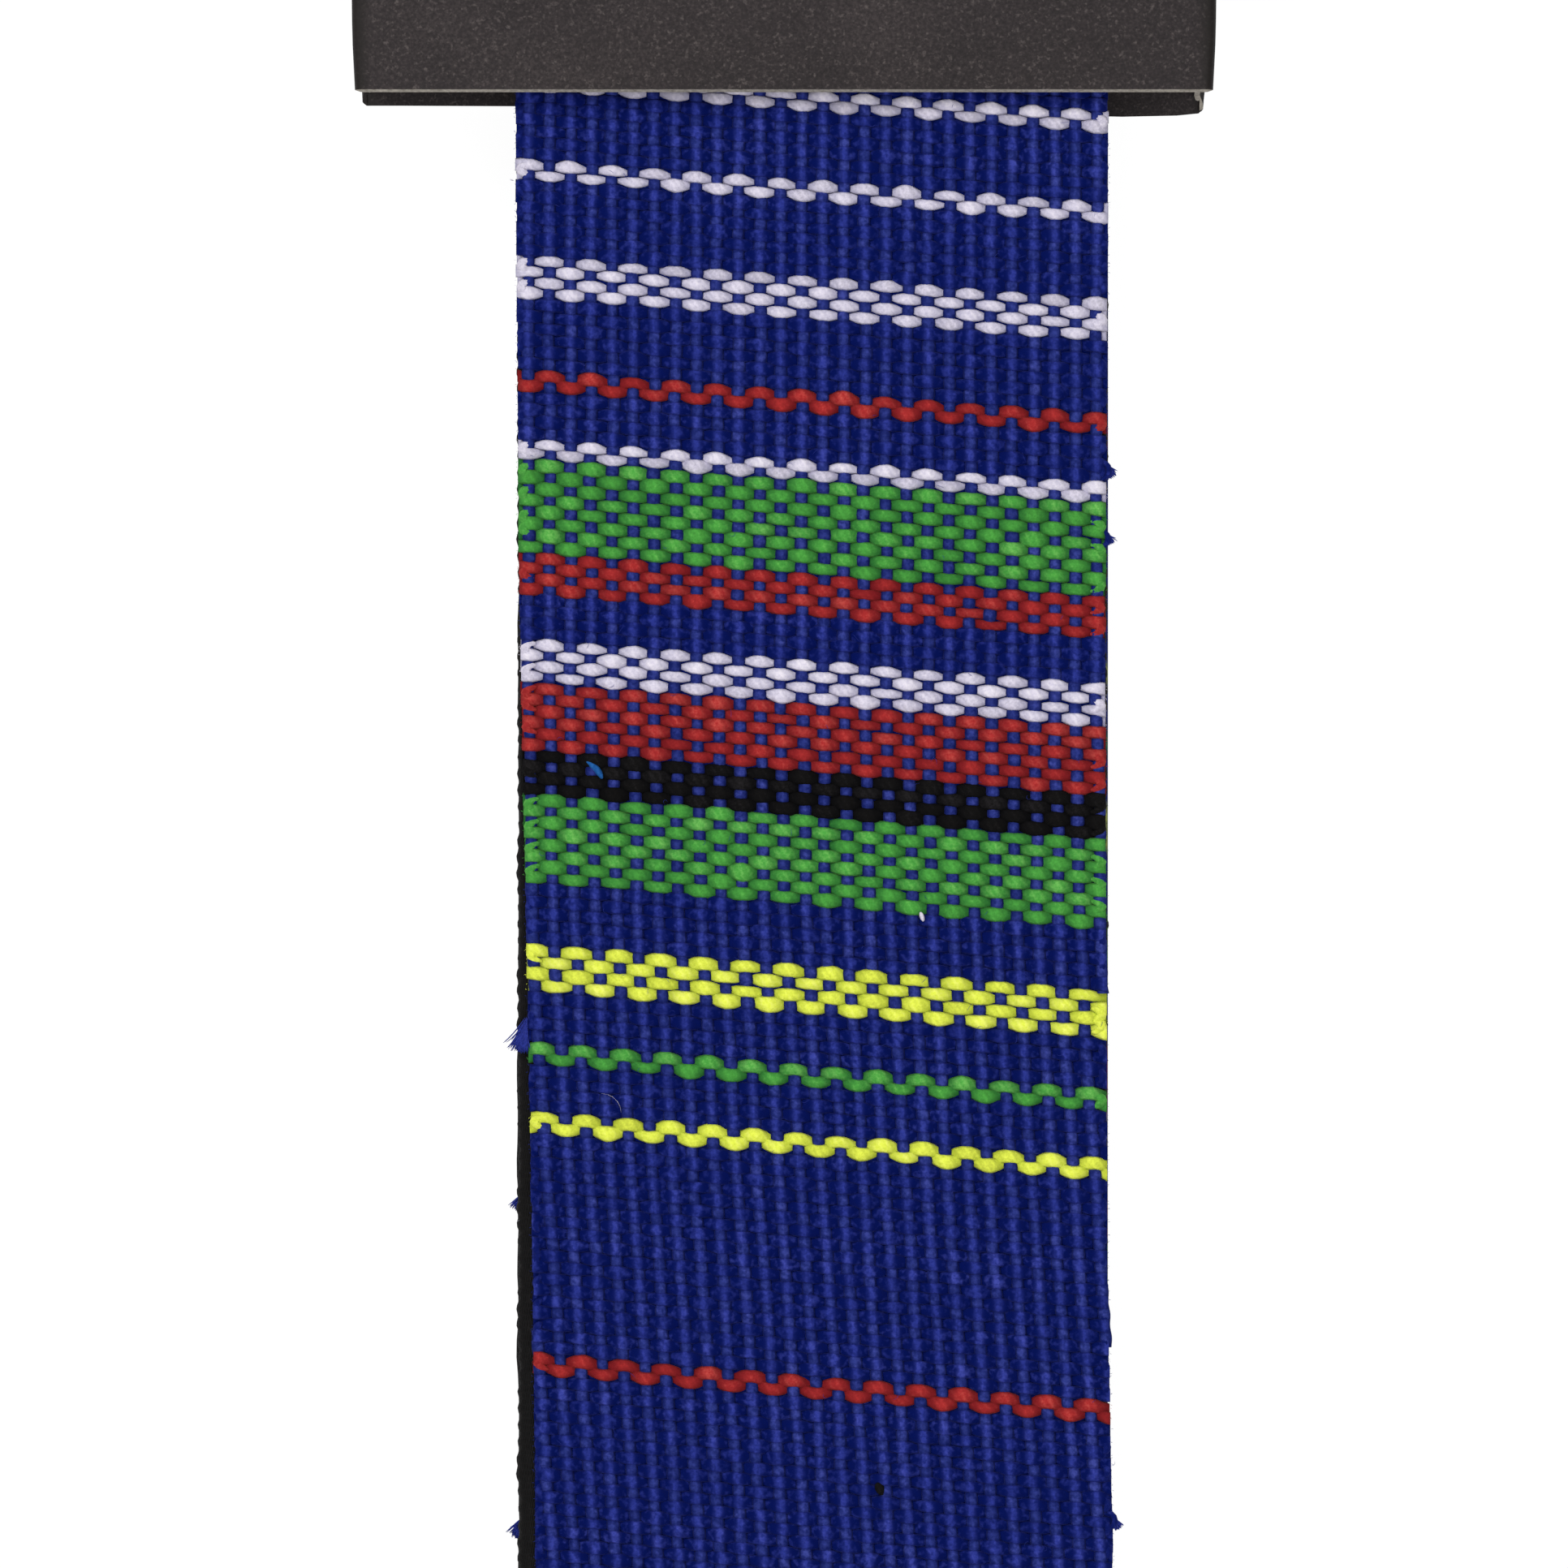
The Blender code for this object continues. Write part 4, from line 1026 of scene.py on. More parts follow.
def elastic_material():
    """Black elastic: painted highlight on the keeper's ribs and painted shade between them, with fine rows
    across.
    """
    low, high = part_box("keeper_loop")
    rib_turn = math.pi * KEEPER_RIBS / (high.y - low.y)
    material, shader = new_material("black_elastic")
    place = node(material, "ShaderNodeTexCoord")
    parts = node(material, "ShaderNodeSeparateXYZ")
    link(material, place.outputs["Object"], parts.inputs[0])
    ribs = math_node(material, "MULTIPLY_ADD", parts.outputs["Y"], rib_turn, -rib_turn * low.y)
    height = math_node(material, "ABSOLUTE", math_node(material, "SINE", ribs))
    round_loop = math_node(material, "ADD", parts.outputs["X"], parts.outputs["Z"])
    dull_black(material, shader, waves(material, round_loop, 1 / ELASTIC_ROW), height)
    return material


def band_material():
    """The cloth where it is folded away: stripe colours from the mesh, painted shade between the crests, and
    a fine weave.
    """
    material, shader = new_material("woven_stripes")
    stripe = node(material, "ShaderNodeAttribute", attribute_name="stripe").outputs["Color"]
    height = node(material, "ShaderNodeAttribute", attribute_name="height").outputs["Fac"]
    fibre = noise(material, scale=3800)
    level = math_node(material, "MULTIPLY_ADD", fibre, 0.5, math_node(material, "SUBTRACT", height, 0.25))
    link(material, mixed(material, level, FOLDED_GAP_SHADE_COLOUR, stripe), shader.inputs["Base Color"])
    bumped(material, shader, fibre, strength=0.5, distance=0.08 * MM)
    shader.inputs["Roughness"].default_value = 0.92
    shader.inputs["Specular IOR Level"].default_value = 0.15
    return material


def card_material():
    """Black faced board, a little warm, with fine pale flecks and painted shade along its folds."""
    material, shader = new_material("black_faced_card")
    grain = noise(material, scale=4200)
    cloud = noise(material, scale=90, detail=2)
    tone = math_node(material, "MULTIPLY_ADD", cloud, 0.3, math_node(material, "MULTIPLY", grain, 0.7))
    tint = ramp(material, tone, *zip((0.3, 0.5, 0.7), CARD_COLOURS))
    fleck = soft_step(material, noise(material, scale=3200, detail=1), 0.54, 0.85, 0.6)
    tint = mixed(material, fleck, tint, FLECK_COLOUR)
    place = node(material, "ShaderNodeTexCoord")
    parts = node(material, "ShaderNodeSeparateXYZ")
    link(material, place.outputs["Object"], parts.inputs[0])
    from_middle = math_node(material, "ABSOLUTE", parts.outputs["X"])
    # Painted shade: darker near the folds at the sides
    fold_shade = soft_step(material, from_middle, SLEEVE_HIGH.x - CARD_FOLD_SHADE, SLEEVE_HIGH.x - CARD_FOLD, 0.85)
    link(material, mixed(material, fold_shade, tint, FOLD_SHADE_COLOUR), shader.inputs["Base Color"])
    bumped(material, shader, grain, strength=0.25, distance=0.05 * MM)
    shader.inputs["Roughness"].default_value = 0.6
    shader.inputs["Specular IOR Level"].default_value = 0.2
    return material


def core_material():
    """The pale middle of the board, at its cut edges."""
    material, shader = new_material("card_core")
    tint = ramp(material, noise(material, scale=3000), *zip((0.3, 0.7), CORE_COLOURS))
    link(material, tint, shader.inputs["Base Color"])
    shader.inputs["Roughness"].default_value = 0.9
    return material


def plastic_material():
    """Moulded black plastic with a fine spark texture."""
    material, shader = new_material("moulded_plastic")
    grain = noise(material, scale=3200, detail=4)
    cloud = noise(material, scale=60, detail=2)
    tint = ramp(material, cloud, *zip((0.3, 0.7), PLASTIC_COLOURS))
    link(material, tint, shader.inputs["Base Color"])
    rough = math_node(material, "MULTIPLY_ADD", cloud, 0.15, 0.46)
    link(material, rough, shader.inputs["Roughness"])
    shader.inputs["Specular IOR Level"].default_value = 0.32
    bumped(material, shader, grain, strength=0.3, distance=0.04 * MM)
    return material


WEBBING_MATERIAL = webbing_material()
ELASTIC_MATERIAL = elastic_material()
THREAD_MATERIAL = yarn_material("black_thread", THREAD_COLOURS, PLAIN_SHADE_DEPTH, PLAIN_SHADE_UNEVENNESS)
BAND_MATERIAL = band_material()
CARD_MATERIAL = card_material()
CORE_MATERIAL = core_material()
PLASTIC_MATERIAL = plastic_material()


def fold_places(route, edge_travel, first, last):
    """Close places, below the sleeve's edge, from which a sloping pick crosses a bend."""
    places = np.arange(first, last, FOLD_STEP)
    before = np.interp(edge_travel + places - FOLD_LEAD, route.middles, route.heading)
    after = np.interp(edge_travel + places + WEFT_FALL, route.middles, route.heading)
    return places[np.abs(after - before) > FOLD_TURN]


def make_band(name, route, edge_travel, first, last):
    """The striped face as one closed band, with a rise and fall at each crossing."""
    rows = draft_rows(first - 2 * WEFT_FALL, last + 2 * WEFT_FALL)
    picks, places = (np.array([row[part] for row in rows]) for part in (0, 1))
    weft = np.array([YARN_COLOURS[row[2]][1] for row in rows])
    inside = places[(places > first) & (places < last - WEFT_FALL)]
    folds = fold_places(route, edge_travel, first, last - WEFT_FALL)
    along = np.unique(np.concatenate([inside, folds, [first, last]]))
    left, right = cloth_edges(last)
    leftmost = math.ceil(column_at(left, last) + COLUMN_ROOM)
    rightmost = math.floor(column_at(right, last) - COLUMN_ROOM)
    columns = np.arange(leftmost, rightmost + 1)
    middles = warp_drift(last) - HALF_WIDTH + (columns + 0.5) * WARP_PITCH
    across = np.concatenate([[left], middles, [right]])
    column = np.concatenate([[columns[0] - 0.5], columns, [columns[-1] + 0.5]])
    across, column = (np.concatenate([values, values[::-1]]) for values in (across, column))
    side = np.repeat([1, -1], len(across) // 2)
    below = np.clip(along[:, None] + weft_slope(last) * (across + HALF_WIDTH), first, last)
    below[0], below[-1] = first, last
    pick = np.interp(below - weft_slope(last) * (across + HALF_WIDTH), places, picks)
    over = np.cos(math.pi * (column + pick))
    edge = np.abs(column - column.mean()) > len(columns) / 2 - COLUMN_ROOM
    lift = FACE_LIFT + side * np.where(edge, BAND_EDGE, BAND_HALF) + BAND_RELIEF * over * ~edge
    share = np.clip(0.5 + 0.5 * over * side, 0, 1)[..., None]
    index = np.clip(np.round(pick).astype(int) - picks[0], 0, len(rows) - 1)
    stripe = np.ones((*below.shape, 4))
    stripe[..., :3] = share * weft[index] + (1 - share) * np.array(WARP_COLOURS[1])
    strand = {
        "rings": route.spots(edge_travel + below, across, lift),
        "length": along - first,
        "shade": 0.5,
        # Painted shade: height darkens the band between the crests of its weave
        "height": 0.55 + 0.45 * np.abs(over),
    }
    mesh = rings_mesh(name, [strand])
    add_attribute(mesh, "stripe", "FLOAT_COLOR", stripe)
    piece = new_object(name, mesh, BAND_MATERIAL)
    return piece


def make_webbing(name, route, first, last, shown):
    """The black band: cords along it, looped edges, and full detail only where it is shown."""
    travel = np.concatenate([np.arange(first, last, WEBBING_STEPS[name]), [last], route.bends()])
    travel = np.unique(travel[(travel >= first) & (travel <= last)].round(5))
    rim = HALF_WIDTH - WEBBING_RIM
    inner = np.linspace(-rim[-1], rim[-1], SHOWN_COLUMNS if shown else HIDDEN_COLUMNS)
    columns = np.concatenate([-rim, inner[1:-1], rim[::-1]])
    side = np.repeat([1, -1], len(columns))
    across = np.concatenate([columns, columns[::-1]])
    from_edge = HALF_WIDTH - np.abs(across)
    fullness = np.sqrt(1 - np.clip(1 - from_edge / WEBBING_ROUND, 0, 0.98) ** 2)
    cord = np.abs(np.cos(math.pi * across / WEBBING_CORD))
    stagger = np.round(across / WEBBING_CORD) % 2
    beat = 0.5 + 0.5 * np.cos(2 * math.pi * (travel[:, None] / WEBBING_BEAT + stagger / 2))
    relief = WEBBING_RELIEF * (cord * (0.5 + 0.5 * beat) - 0.6) * fullness
    middle = -(LAYER_GAP + LAYER_THICKNESS) / 2
    lift = middle + side * (LAYER_THICKNESS / 2 * fullness + relief)
    loops = SCALLOP_DEPTH * np.cos(2 * math.pi * travel / WEBBING_SCALLOP)
    left_edge, right_edge = (wander(travel, *WEBBING_SWAY) + loops for _ in range(2))
    looped = np.where(across < 0, left_edge[:, None], right_edge[:, None])
    spread = across + np.sign(across) * looped * np.clip(1 - from_edge / SCALLOP_REACH, 0, 1)
    strand = {
        "rings": route.spots(travel[:, None], spread, lift),
        "length": travel - travel[0],
        "shade": 0.5,
        # Painted shade: height is lower where the weave's relief dips
        "height": np.clip(0.6 + relief / WEBBING_RELIEF, 0, 1),
    }
    piece = new_object(name, rings_mesh(name, [strand]), WEBBING_MATERIAL)
    return piece


def pick_elements(mesh, kind, chosen):
    """Selects, in edit mode, only the faces or edges for which chosen holds."""
    bpy.ops.mesh.select_mode(type=kind)
    bpy.ops.mesh.select_all(action="DESELECT")
    shape = bmesh.from_edit_mesh(mesh)
    for element in shape.faces if kind == "FACE" else shape.edges:
        element.select_set(bool(chosen(element)))
    bmesh.update_edit_mesh(mesh)


def sliced(axis, places):
    """Cuts the whole mesh in edit mode across one axis at each place."""
    for place in places:
        bpy.ops.mesh.select_all(action="SELECT")
        point = [0, 0, 0]
        point[axis] = place
        normal = [0, 0, 0]
        normal[axis] = 1
        bpy.ops.mesh.bisect(plane_co=point, plane_no=normal)


def runs_along(edge, axis):
    """Whether an edge runs along an axis."""
    start, end = (corner.co for corner in edge.verts)
    return abs(start[axis] - end[axis]) > 0.9 * (end - start).length


def folded_tube(name, low, high, fold):
    """An open tube along the strap, with its four long corners rounded."""
    bpy.ops.object.select_all(action="DESELECT")
    bpy.ops.mesh.primitive_cube_add(size=1, location=(low + high) / 2, scale=high - low)
    tube = bpy.context.active_object
    tube.name = name
    bpy.ops.object.transform_apply(location=True, rotation=True, scale=True)
    bpy.ops.object.mode_set(mode="EDIT")
    pick_elements(tube.data, "FACE", lambda face: abs(face.normal.y) > 0.9)
    bpy.ops.mesh.delete(type="FACE")
    pick_elements(tube.data, "EDGE", lambda edge: runs_along(edge, 1))
    bpy.ops.mesh.bevel(offset=fold, segments=ROUND_SEGMENTS, affect="EDGES")
    bpy.ops.object.mode_set(mode="OBJECT")
    return tube


def add_wall(piece, thickness, rim_material=0):
    """Gives the active open piece a wall, inwards."""
    wall = piece.modifiers.new("wall", "SOLIDIFY")
    wall.thickness = thickness
    wall.offset = -1
    wall.use_even_offset = True
    wall.material_offset_rim = rim_material
    bpy.ops.object.modifier_apply(modifier="wall")


def smooth_step(share):
    share = min(max(share, 0), 1)
    return share * share * (3 - 2 * share)


def shape_card(mesh):
    """Ends drawn in at the sides, side walls cut back, and a rear edge that runs out of square."""
    middle = (SLEEVE_LOW + SLEEVE_HIGH) / 2
    half = (SLEEVE_HIGH.x - SLEEVE_LOW.x) / 2
    for corner in mesh.vertices:
        from_low, from_high = corner.co.y - SLEEVE_LOW.y, SLEEVE_HIGH.y - corner.co.y
        share = corner.co.x / half
        drawn_in = CARD_DRAW * math.exp(-min(from_low, from_high) / CARD_DRAW_LENGTH)
        if corner.co.z < middle.z:
            drawn_in *= REAR_DRAW if share > 0 else 0
            hang = np.interp(share, REAR_SHARES, REAR_HANG)
            corner.co.y -= hang * max(0, 1 - from_low / REAR_LENGTH)
        depth = (corner.co.z - SLEEVE_LOW.z) / (SLEEVE_HIGH.z - SLEEVE_LOW.z)
        inside = smooth_step(depth / WALL_FOOT) * smooth_step((WALL_TOP - depth) / WALL_FADE)
        inside *= abs(share) > WALL_SHARE
        if from_low < CARD_RIM or from_high < CARD_RIM:
            corner.co.y += math.copysign(CARD_NOTCH, from_high - from_low) * inside
            drawn_in += CARD_BOW * inside
        corner.co.x -= share * drawn_in


def make_card_sleeve():
    """A folded card tube, knife-cut at both ends so that its pale core shows."""
    size = SLEEVE_HIGH - SLEEVE_LOW
    card = folded_tube("sleeve_card", SLEEVE_LOW, SLEEVE_HIGH, CARD_FOLD)
    bpy.ops.object.mode_set(mode="EDIT")
    sliced(0, [share * size.x / 2 for share in CARD_CUTS_ACROSS])
    sliced(1, SLEEVE_LOW.y + CARD_CUTS_ALONG)
    sliced(2, [SLEEVE_LOW.z + share * size.z for share in CARD_CUTS_UP])
    bpy.ops.object.mode_set(mode="OBJECT")
    low_rim = [corner.index for corner in card.data.vertices if corner.co.y < SLEEVE_LOW.y + CARD_RIM]
    high_rim = [corner.index for corner in card.data.vertices if corner.co.y > SLEEVE_HIGH.y - CARD_RIM]
    shape_card(card.data)
    card.data.materials.append(CARD_MATERIAL)
    card.data.materials.append(CORE_MATERIAL)
    add_wall(card, CARD_THICKNESS, rim_material=1)
    for face in card.data.polygons:
        at_side = abs(face.center.x) > size.x / 2 - CARD_FOLD
        if at_side and face.center.z < SLEEVE_HIGH.z - 2 * CARD_FOLD:
            face.material_index = 0
    for rim, step in ((low_rim, CARD_KNIFE), (high_rim, -CARD_KNIFE)):
        for index in rim:
            card.data.vertices[index].co.y += step
    bpy.ops.object.shade_smooth_by_angle(angle=math.radians(35))
    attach(card, "sleeve")
    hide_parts("card_sleeve")


def stitch_bow():
    """How a stitch rises from its ends, at 0, to its middle, at 1."""
    return np.sin(np.linspace(0, math.pi, STITCH_POINTS)) ** 0.5


def sewn_row(route, start, end, lift):
    """Stitches on a straight row between two places (travel, across), each dipping in at its ends."""
    start, end = np.array(start), np.array(end)
    count = max(1, round(np.linalg.norm(end - start) / STITCH_LENGTH))
    rise = math.copysign(STITCH_DIP, lift) * (stitch_bow() - 1)
    stitches = []
    for step in range(count):
        share = np.linspace(*(step + STITCH_SPAN), STITCH_POINTS) / count
        spot = start + (end - start) * share[:, None]
        stitches.append(thread_tube(route.spots(spot[:, 0], spot[:, 1], lift + rise), THREAD_RADIUS))
    return stitches


def make_stitching(name, stitches, body, node_name):
    piece = new_object(name, rings_mesh(name, stitches), THREAD_MATERIAL)
    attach(piece, body)
    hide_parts(node_name)


def make_sewing():
    """The crossed box that closes the socket's loop, and the rows across the tail."""
    low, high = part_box("box_stitching")
    top = PACK.travel_near(FLAP_BEND, LOOP_MIDDLE + LOOP_RADIUS)
    rows = [top - (end - (FLAP_BEND + EDGE_Y)) for end in (low.y, high.y)]
    sides = [low.x - STRAP_X + THREAD_RADIUS, high.x - STRAP_X - THREAD_RADIUS]
    corners = [(rows[0], sides[0]), (rows[0], sides[1]), (rows[1], sides[1]), (rows[1], sides[0])]
    lift = FACE_LIFT + CREST + FRONT_STITCH_RISE
    stitches = []
    for start, end in ((0, 1), (1, 2), (2, 3), (3, 0), (0, 2), (1, 3)):
        stitches += sewn_row(PACK, corners[start], corners[end], lift)
    make_stitching("box_sewing", stitches, "root", "box_stitching")
    low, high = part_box("tail_stitching")
    tail_start = END.travel[-1] - (EDGE_Y + TAIL_END)
    stitches = []
    for place in np.linspace(tail_start + low.y, tail_start + high.y, TAIL_ROWS):
        ends = [(place, low.x - STRAP_X), (place, high.x - STRAP_X)]
        stitches += sewn_row(END, *ends, -(HALF_STRAP + BACK_STITCH_RISE))
    make_stitching("tail_sewing", stitches, "plug", "tail_stitching")


def make_keeper():
    """A ribbed elastic loop round the doubled tail."""
    low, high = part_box("keeper_loop")
    middle = (low + high) / 2
    keeper = folded_tube("keeper_elastic", low, high, KEEPER_FOLD)
    bpy.ops.object.mode_set(mode="EDIT")
    sliced(0, np.linspace(low.x + KEEPER_FOLD, high.x - KEEPER_FOLD, KEEPER_CUTS)[1:-1])
    sliced(1, np.linspace(low.y, high.y, 4 * KEEPER_RIBS + 1)[1:-1])
    bpy.ops.object.mode_set(mode="OBJECT")
    rib_width = (high.y - low.y) / KEEPER_RIBS
    for corner in keeper.data.vertices:
        rib = abs(math.sin(math.pi * (corner.co.y - low.y) / rib_width)) - 1
        slack = KEEPER_SLACK * math.sin((corner.co.x - low.x) / KEEPER_SLACK_RUN)
        push = Vector((corner.co.x - middle.x, 0, corner.co.z - middle.z))
        if abs(push.z) > (high.z - low.z) * KEEPER_FLAT:
            push = Vector((0, 0, math.copysign(1, push.z)))
        else:
            push.normalize()
        corner.co += push * (KEEPER_RIB_DEPTH * rib + slack)
    add_wall(keeper, KEEPER_THICKNESS)
    keeper.data.materials.append(ELASTIC_MATERIAL)
    bpy.ops.object.shade_smooth_by_angle(angle=math.radians(60))
    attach(keeper, "keeper")
    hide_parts("keeper_loop")


def make_keeper_tack():
    """The bar tack that closes the keeper: one thread that goes to and fro."""
    low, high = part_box("keeper_tack")
    sides = (low.x + THREAD_RADIUS, high.x - THREAD_RADIUS)
    rows = np.linspace(low.y + THREAD_RADIUS, high.y - THREAD_RADIUS, TACK_ROWS)
    height = low.z + THREAD_RADIUS + THREAD_RADIUS / 2 * (stitch_bow() - 1)
    threads = []
    for index, (near, far) in enumerate(zip(rows, rows[1:])):
        across = np.linspace(sides[index % 2], sides[1 - index % 2], STITCH_POINTS)
        along = np.linspace(near, far, STITCH_POINTS)
        threads.append(thread_tube(np.stack([across, along, height], axis=1), THREAD_RADIUS))
    make_stitching("tack_sewing", threads, "keeper", "keeper_tack")


def make_floor():
    """A white floor that keeps the shadow, and white behind it."""
    bpy.ops.object.select_all(action="DESELECT")
    bpy.ops.mesh.primitive_plane_add(size=FLOOR_SIZE, location=(0, 0, -FLOOR_DROP))
    floor = bpy.context.active_object
    floor.name = "floor"
    material, shader = new_material("white_floor")
    shader.inputs["Base Color"].default_value = (0.9, 0.9, 0.9, 1)
    shader.inputs["Roughness"].default_value = 0.9
    seen = node(material, "ShaderNodeLightPath")
    direct = math_node(material, "MAXIMUM", seen.outputs["Is Camera Ray"], seen.outputs["Is Glossy Ray"])
    direct = math_node(material, "MAXIMUM", direct, seen.outputs["Is Transmission Ray"])
    glow = node(material, "ShaderNodeEmission")
    glow.inputs["Strength"].default_value = FLOOR_GLOW
    mix = node(material, "ShaderNodeMixShader")
    link(material, math_node(material, "MULTIPLY", direct, FLOOR_PLAIN), mix.inputs["Fac"])
    link(material, shader.outputs["BSDF"], mix.inputs[1])
    link(material, glow.outputs["Emission"], mix.inputs[2])
    link(material, mix.outputs["Shader"], material.node_tree.nodes["Material Output"].inputs["Surface"])
    floor.data.materials.append(material)


def make_world():
    world = bpy.data.worlds.new("studio")
    world.use_nodes = True
    tree = world.node_tree
    background = tree.nodes["Background"]
    seen = tree.nodes.new("ShaderNodeLightPath")
    strength = tree.nodes.new("ShaderNodeMapRange")
    tree.links.new(seen.outputs["Is Camera Ray"], strength.inputs["Value"])
    strength.inputs["To Min"].default_value = 0.35
    strength.inputs["To Max"].default_value = 1
    tree.links.new(strength.outputs["Result"], background.inputs["Strength"])
    background.inputs["Color"].default_value = (1, 1, 1, 1)
    bpy.context.scene.world = world


def make_lamp(name, place, aim, size, power):
    data = bpy.data.lights.new(name, "AREA")
    data.size = size
    data.energy = power
    lamp = bpy.data.objects.new(name, data)
    bpy.context.scene.collection.objects.link(lamp)
    lamp.location = place
    lamp.rotation_euler = (Vector(aim) - Vector(place)).to_track_quat("-Z", "Y").to_euler()


def make_camera():
    """Straight above the strap, with the sleeve's cut edge near the top of the frame."""
    frame_width = FRAME_PIXELS / PIXELS_PER_METRE
    edge_above_middle = (FRAME_PIXELS / 2 - SLEEVE_EDGE_ROW) / PIXELS_PER_METRE
    data = bpy.data.cameras.new("camera")
    data.sensor_width = SENSOR_WIDTH
    data.lens = SENSOR_WIDTH * CAMERA_DISTANCE / frame_width
    camera = bpy.data.objects.new("camera", data)
    bpy.context.scene.collection.objects.link(camera)
    camera.location = (0, EDGE_Y - edge_above_middle, SLEEVE_HIGH.z + CAMERA_DISTANCE)
    bpy.context.scene.camera = camera


def make_stage():
    make_floor()
    make_world()
    aim = (0, EDGE_Y, 0)
    make_lamp("overhead_panel", place=(0.1, -0.3, 1.1), aim=aim, size=0.9, power=7)
    make_lamp("key_panel", place=(-0.5, 0.5, 0.8), aim=aim, size=0.5, power=5)
    make_camera()
    bpy.context.scene.view_settings.view_transform = "Standard"


def fold_end(pair):
    """The distance along the pack to where one bottom fold runs out into the ply under it."""
    stagger = (pair % 2) * FOLD_STAGGER
    height = TOP_PLY - SAG_DROP - (2 * pair + 1) * PLY_PITCH
    return PACK.travel_near(BOTTOM_FOLD + stagger, height) + FOLD_RUN_OUT


def make_strap():
    """The long strap from the socket's bar through the plies: yarns where they show, and bands inside."""
    loop_start = PACK.travel_near(BAR_ALONG, LOOP_MIDDLE - LOOP_RADIUS)
    folds = [fold_end(pair) for pair in range(PLY_PAIRS)]
    last = PACK.travel[-1]
    yarn_runs = {"face": (loop_start, folds[0])}
    band_runs = {"face_flap": (0, loop_start), "face_last_ply": (folds[-1], last)}
    for pair in range(1, PLY_PAIRS):
        shown = folds[pair] - FOLD_SHOWN
        yarn_runs[f"fold_{pair + 1}"] = (shown, folds[pair])
        band_runs[f"face_plies_{pair}"] = (folds[pair - 1], shown)
    webbing_runs = {
        "backing_front": (0, folds[0]),
        "backing_plies": (folds[0], folds[-1]),
        "backing_last_ply": (folds[-1], last),
    }
    faces = []
    for name, (first, end) in yarn_runs.items():
        faces += make_weave(name, PACK, EDGE_TRAVEL, first - EDGE_TRAVEL, end - EDGE_TRAVEL, "root")
    bands = [make_band(name, PACK, EDGE_TRAVEL, first - EDGE_TRAVEL, end - EDGE_TRAVEL)
             for name, (first, end) in band_runs.items()]
    backs = [make_webbing(name, PACK, *run, shown=False) for name, run in webbing_runs.items()]
    for piece in (*bands, *backs):
        if piece.name.endswith("last_ply"):
            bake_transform(piece)
        else:
            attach(piece, "root")
    for piece in (*faces, *bands):
        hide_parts("woven_face")
    for piece in backs:
        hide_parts("backing_webbing")


def make_strap_end():
    """The end that is drawn out with the plug: the bight in yarns, the rest in bands."""
    edge_travel = -(PACK.travel[-1] - EDGE_TRAVEL + LAYER_GAP)
    bight = END.travel_near(BIGHT_ALONG + BIGHT_RADIUS, BOTTOM_PLY + BIGHT_RADIUS)
    first, last = bight - BIGHT_LEAD - edge_travel, bight + BIGHT_SHOWN - edge_travel
    yarns = make_weave("bight", END, edge_travel, first, last, "plug")
    under = make_band("face_under", END, edge_travel, -edge_travel, first)
    tail = make_band("face_tail", END, edge_travel, last, END.travel[-1] - edge_travel)
    slot_travel = END.travel_near(OUTER_SLOT, LOAD_HEIGHT)
    under_back = make_webbing("backing_under", END, 0, slot_travel, shown=False)
    tail_back = make_webbing("backing_tail", END, slot_travel, END.travel[-1], shown=True)
    for piece in (under, tail, under_back, tail_back):
        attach(piece, "plug")
    for piece in (*yarns, under, tail):
        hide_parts("end_face")
    for piece in (under_back, tail_back):
        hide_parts("end_backing")


def node_copy(name, copy_name):
    """A copy of a CAD node as one closed mesh of flat faces, selected and active."""
    piece = bpy.data.objects.new(copy_name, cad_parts[name].data.copy())
    bpy.context.scene.collection.objects.link(piece)
    bpy.ops.object.select_all(action="DESELECT")
    piece.select_set(True)
    bpy.context.view_layer.objects.active = piece
    bpy.ops.object.mode_set(mode="EDIT")
    bpy.ops.mesh.select_all(action="SELECT")
    bpy.ops.mesh.remove_doubles(threshold=MERGE_GAP)
    bpy.ops.mesh.dissolve_limited(angle_limit=math.radians(1))
    bpy.ops.object.mode_set(mode="OBJECT")
    return piece


def cutter(low, high, axis, corner):
    """A box, rounded along one axis, that cuts its shape out of a piece."""
    low, high = Vector(low), Vector(high)
    bpy.ops.object.select_all(action="DESELECT")
    bpy.ops.mesh.primitive_cube_add(size=1, location=(low + high) / 2, scale=high - low, calc_uvs=False)
    tool = bpy.context.active_object
    bpy.ops.object.transform_apply(location=True, rotation=True, scale=True)
    if corner:
        bpy.ops.object.mode_set(mode="EDIT")
        pick_elements(tool.data, "EDGE", lambda edge: runs_along(edge, axis))
        bpy.ops.mesh.bevel(offset=corner, segments=ROUND_SEGMENTS, affect="EDGES")
        bpy.ops.object.mode_set(mode="OBJECT")
    return tool


def cut_out(piece, tools):
    """Cuts each tool out of a piece, and takes the tools away."""
    bpy.context.view_layer.objects.active = piece
    for tool in tools:
        cut = piece.modifiers.new("cut", "BOOLEAN")
        cut.object = tool
        cut.solver = "EXACT"
        bpy.ops.object.modifier_apply(modifier="cut")
        bpy.data.objects.remove(tool)


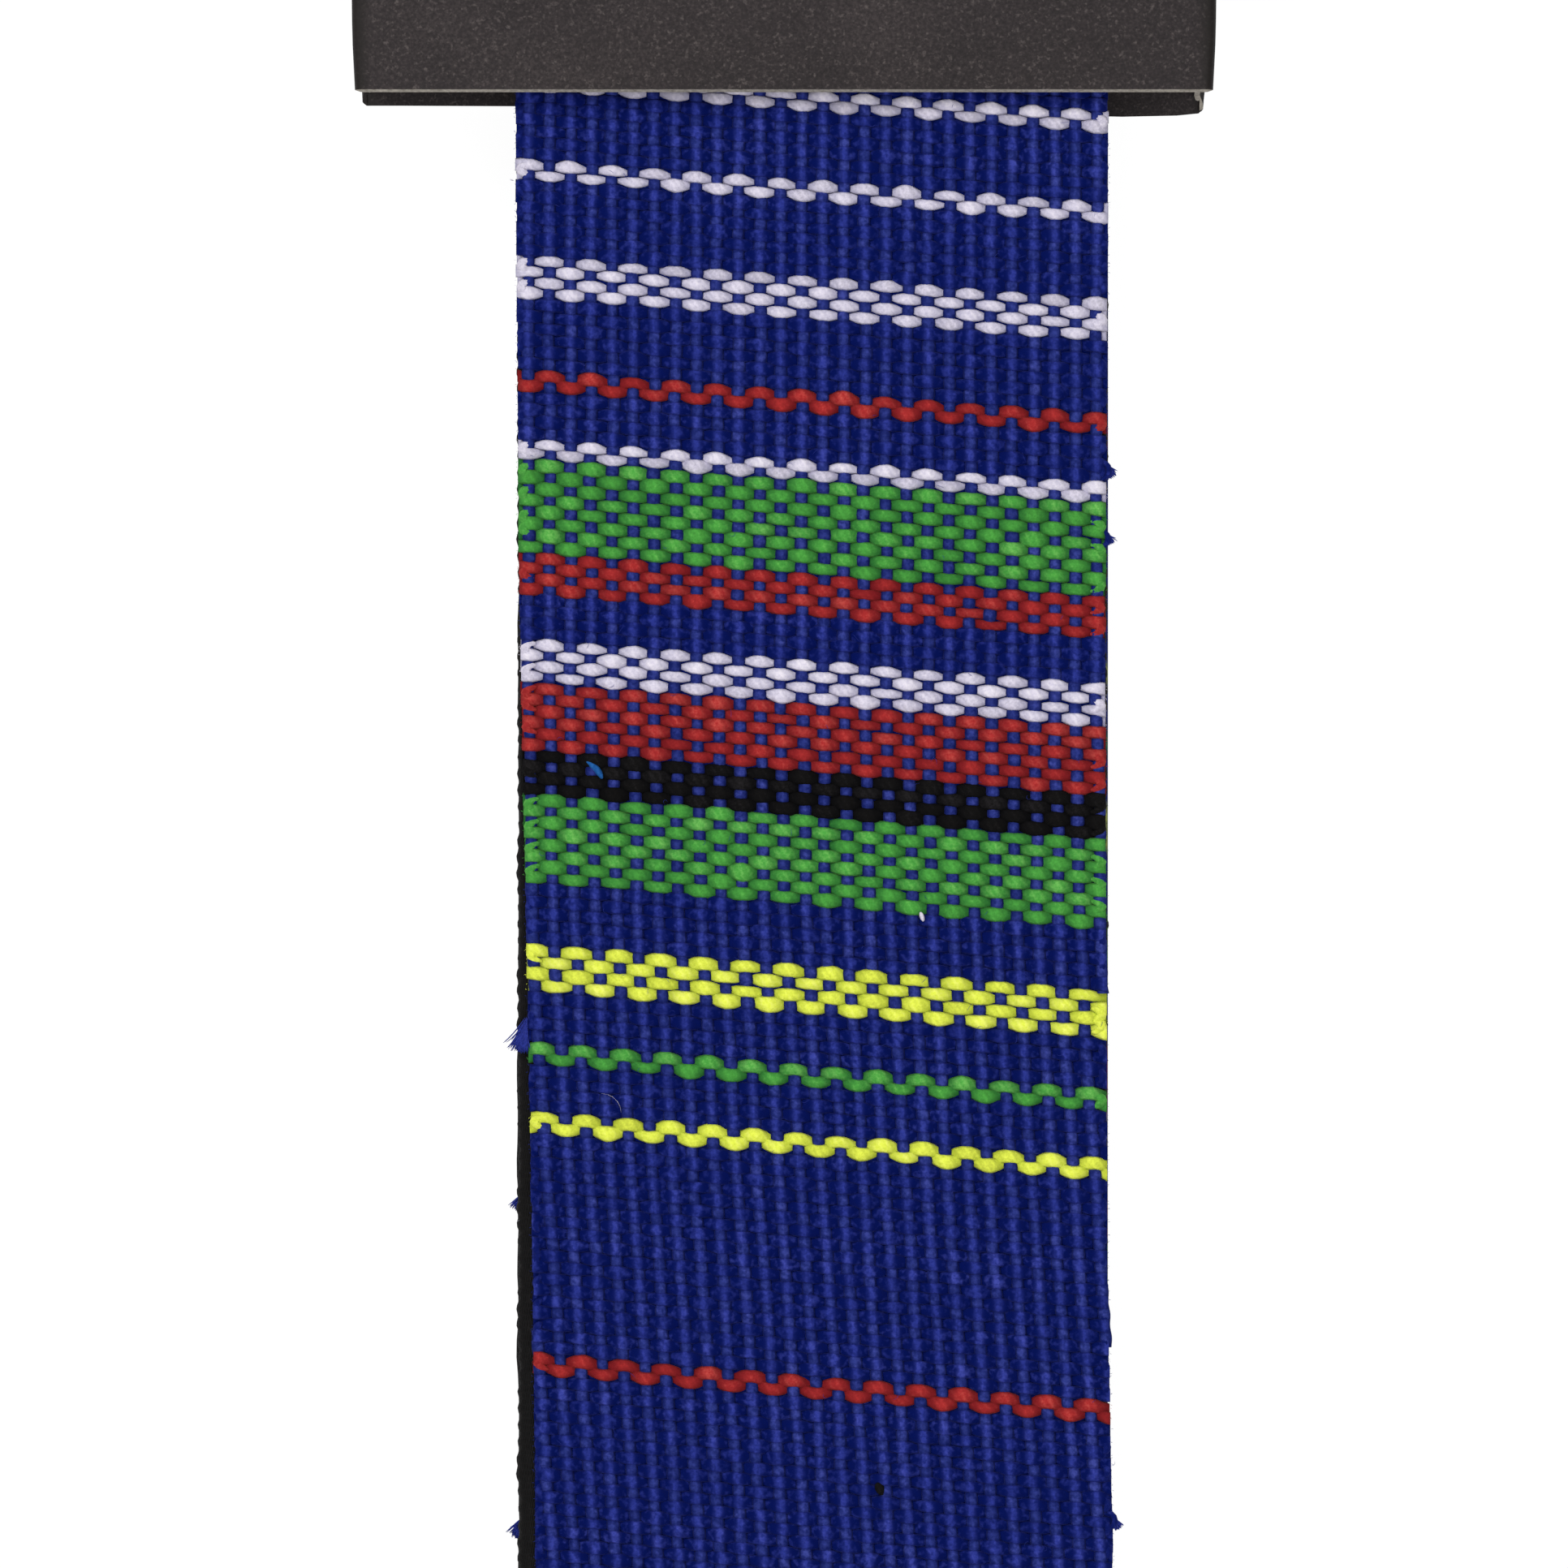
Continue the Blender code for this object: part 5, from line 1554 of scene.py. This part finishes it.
def panel_tools(node_name):
    """Cutters for the sunk panels in the socket's top and underside."""
    low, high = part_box(node_name)
    front, back = low.y + SOCKET_BAR_END + PANEL_END, high.y - PANEL_END
    sides = (low.x + PANEL_SIDE, high.x - PANEL_SIDE)
    return [cutter((sides[0], front, bottom), (sides[1], back, bottom + 2 * PANEL_DEPTH), 2, PANEL_CORNER)
            for bottom in (low.z - PANEL_DEPTH, high.z - PANEL_DEPTH)]


def groove_tools(node_name, outer):
    """Cutters for the grip grooves in a prong's pad."""
    low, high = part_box(node_name)
    return [cutter((outer - GROOVE_DEPTH, place - GROOVE_WIDTH / 2, low.z - MM),
                   (outer + GROOVE_DEPTH, place + GROOVE_WIDTH / 2, high.z + MM), 2, 0)
            for place in low.y + GROOVE_START + GROOVE_PITCH * np.arange(GROOVES)]


def finish_plastic(piece, body, node_name):
    """Rounds the edges of a moulded piece and sets it on its body."""
    bpy.ops.object.select_all(action="DESELECT")
    piece.select_set(True)
    bpy.context.view_layer.objects.active = piece
    bpy.ops.object.shade_smooth_by_angle(angle=PLASTIC_CORNER)
    rounded = piece.modifiers.new("rounded", "BEVEL")
    rounded.width = PLASTIC_ROUND
    rounded.segments = 3
    rounded.limit_method = "ANGLE"
    rounded.angle_limit = PLASTIC_CORNER
    rounded.harden_normals = True
    bpy.ops.object.modifier_apply(modifier="rounded")
    piece.data.materials.clear()
    piece.data.materials.append(PLASTIC_MATERIAL)
    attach(piece, body)
    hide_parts(node_name)


def make_buckle():
    """The moulded buckle: sunk panels in the socket, grip grooves in the prongs, and rounded edges."""
    socket = node_copy("buckle_socket", "socket_moulding")
    cut_out(socket, panel_tools("buckle_socket"))
    finish_plastic(socket, "root", "buckle_socket")
    finish_plastic(node_copy("buckle_plug", "plug_moulding"), "plug", "buckle_plug")
    outer_faces = {"prong_left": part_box("prong_left")[0].x, "prong_right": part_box("prong_right")[1].x}
    for name, outer in outer_faces.items():
        prong = node_copy(name, f"{name}_moulding")
        cut_out(prong, groove_tools(name, outer))
        finish_plastic(prong, name, name)


def main():
    make_strap()
    make_strap_end()
    make_loose_fibres()
    make_card_sleeve()
    make_sewing()
    make_keeper()
    make_keeper_tack()
    make_buckle()
    make_stage()


main()
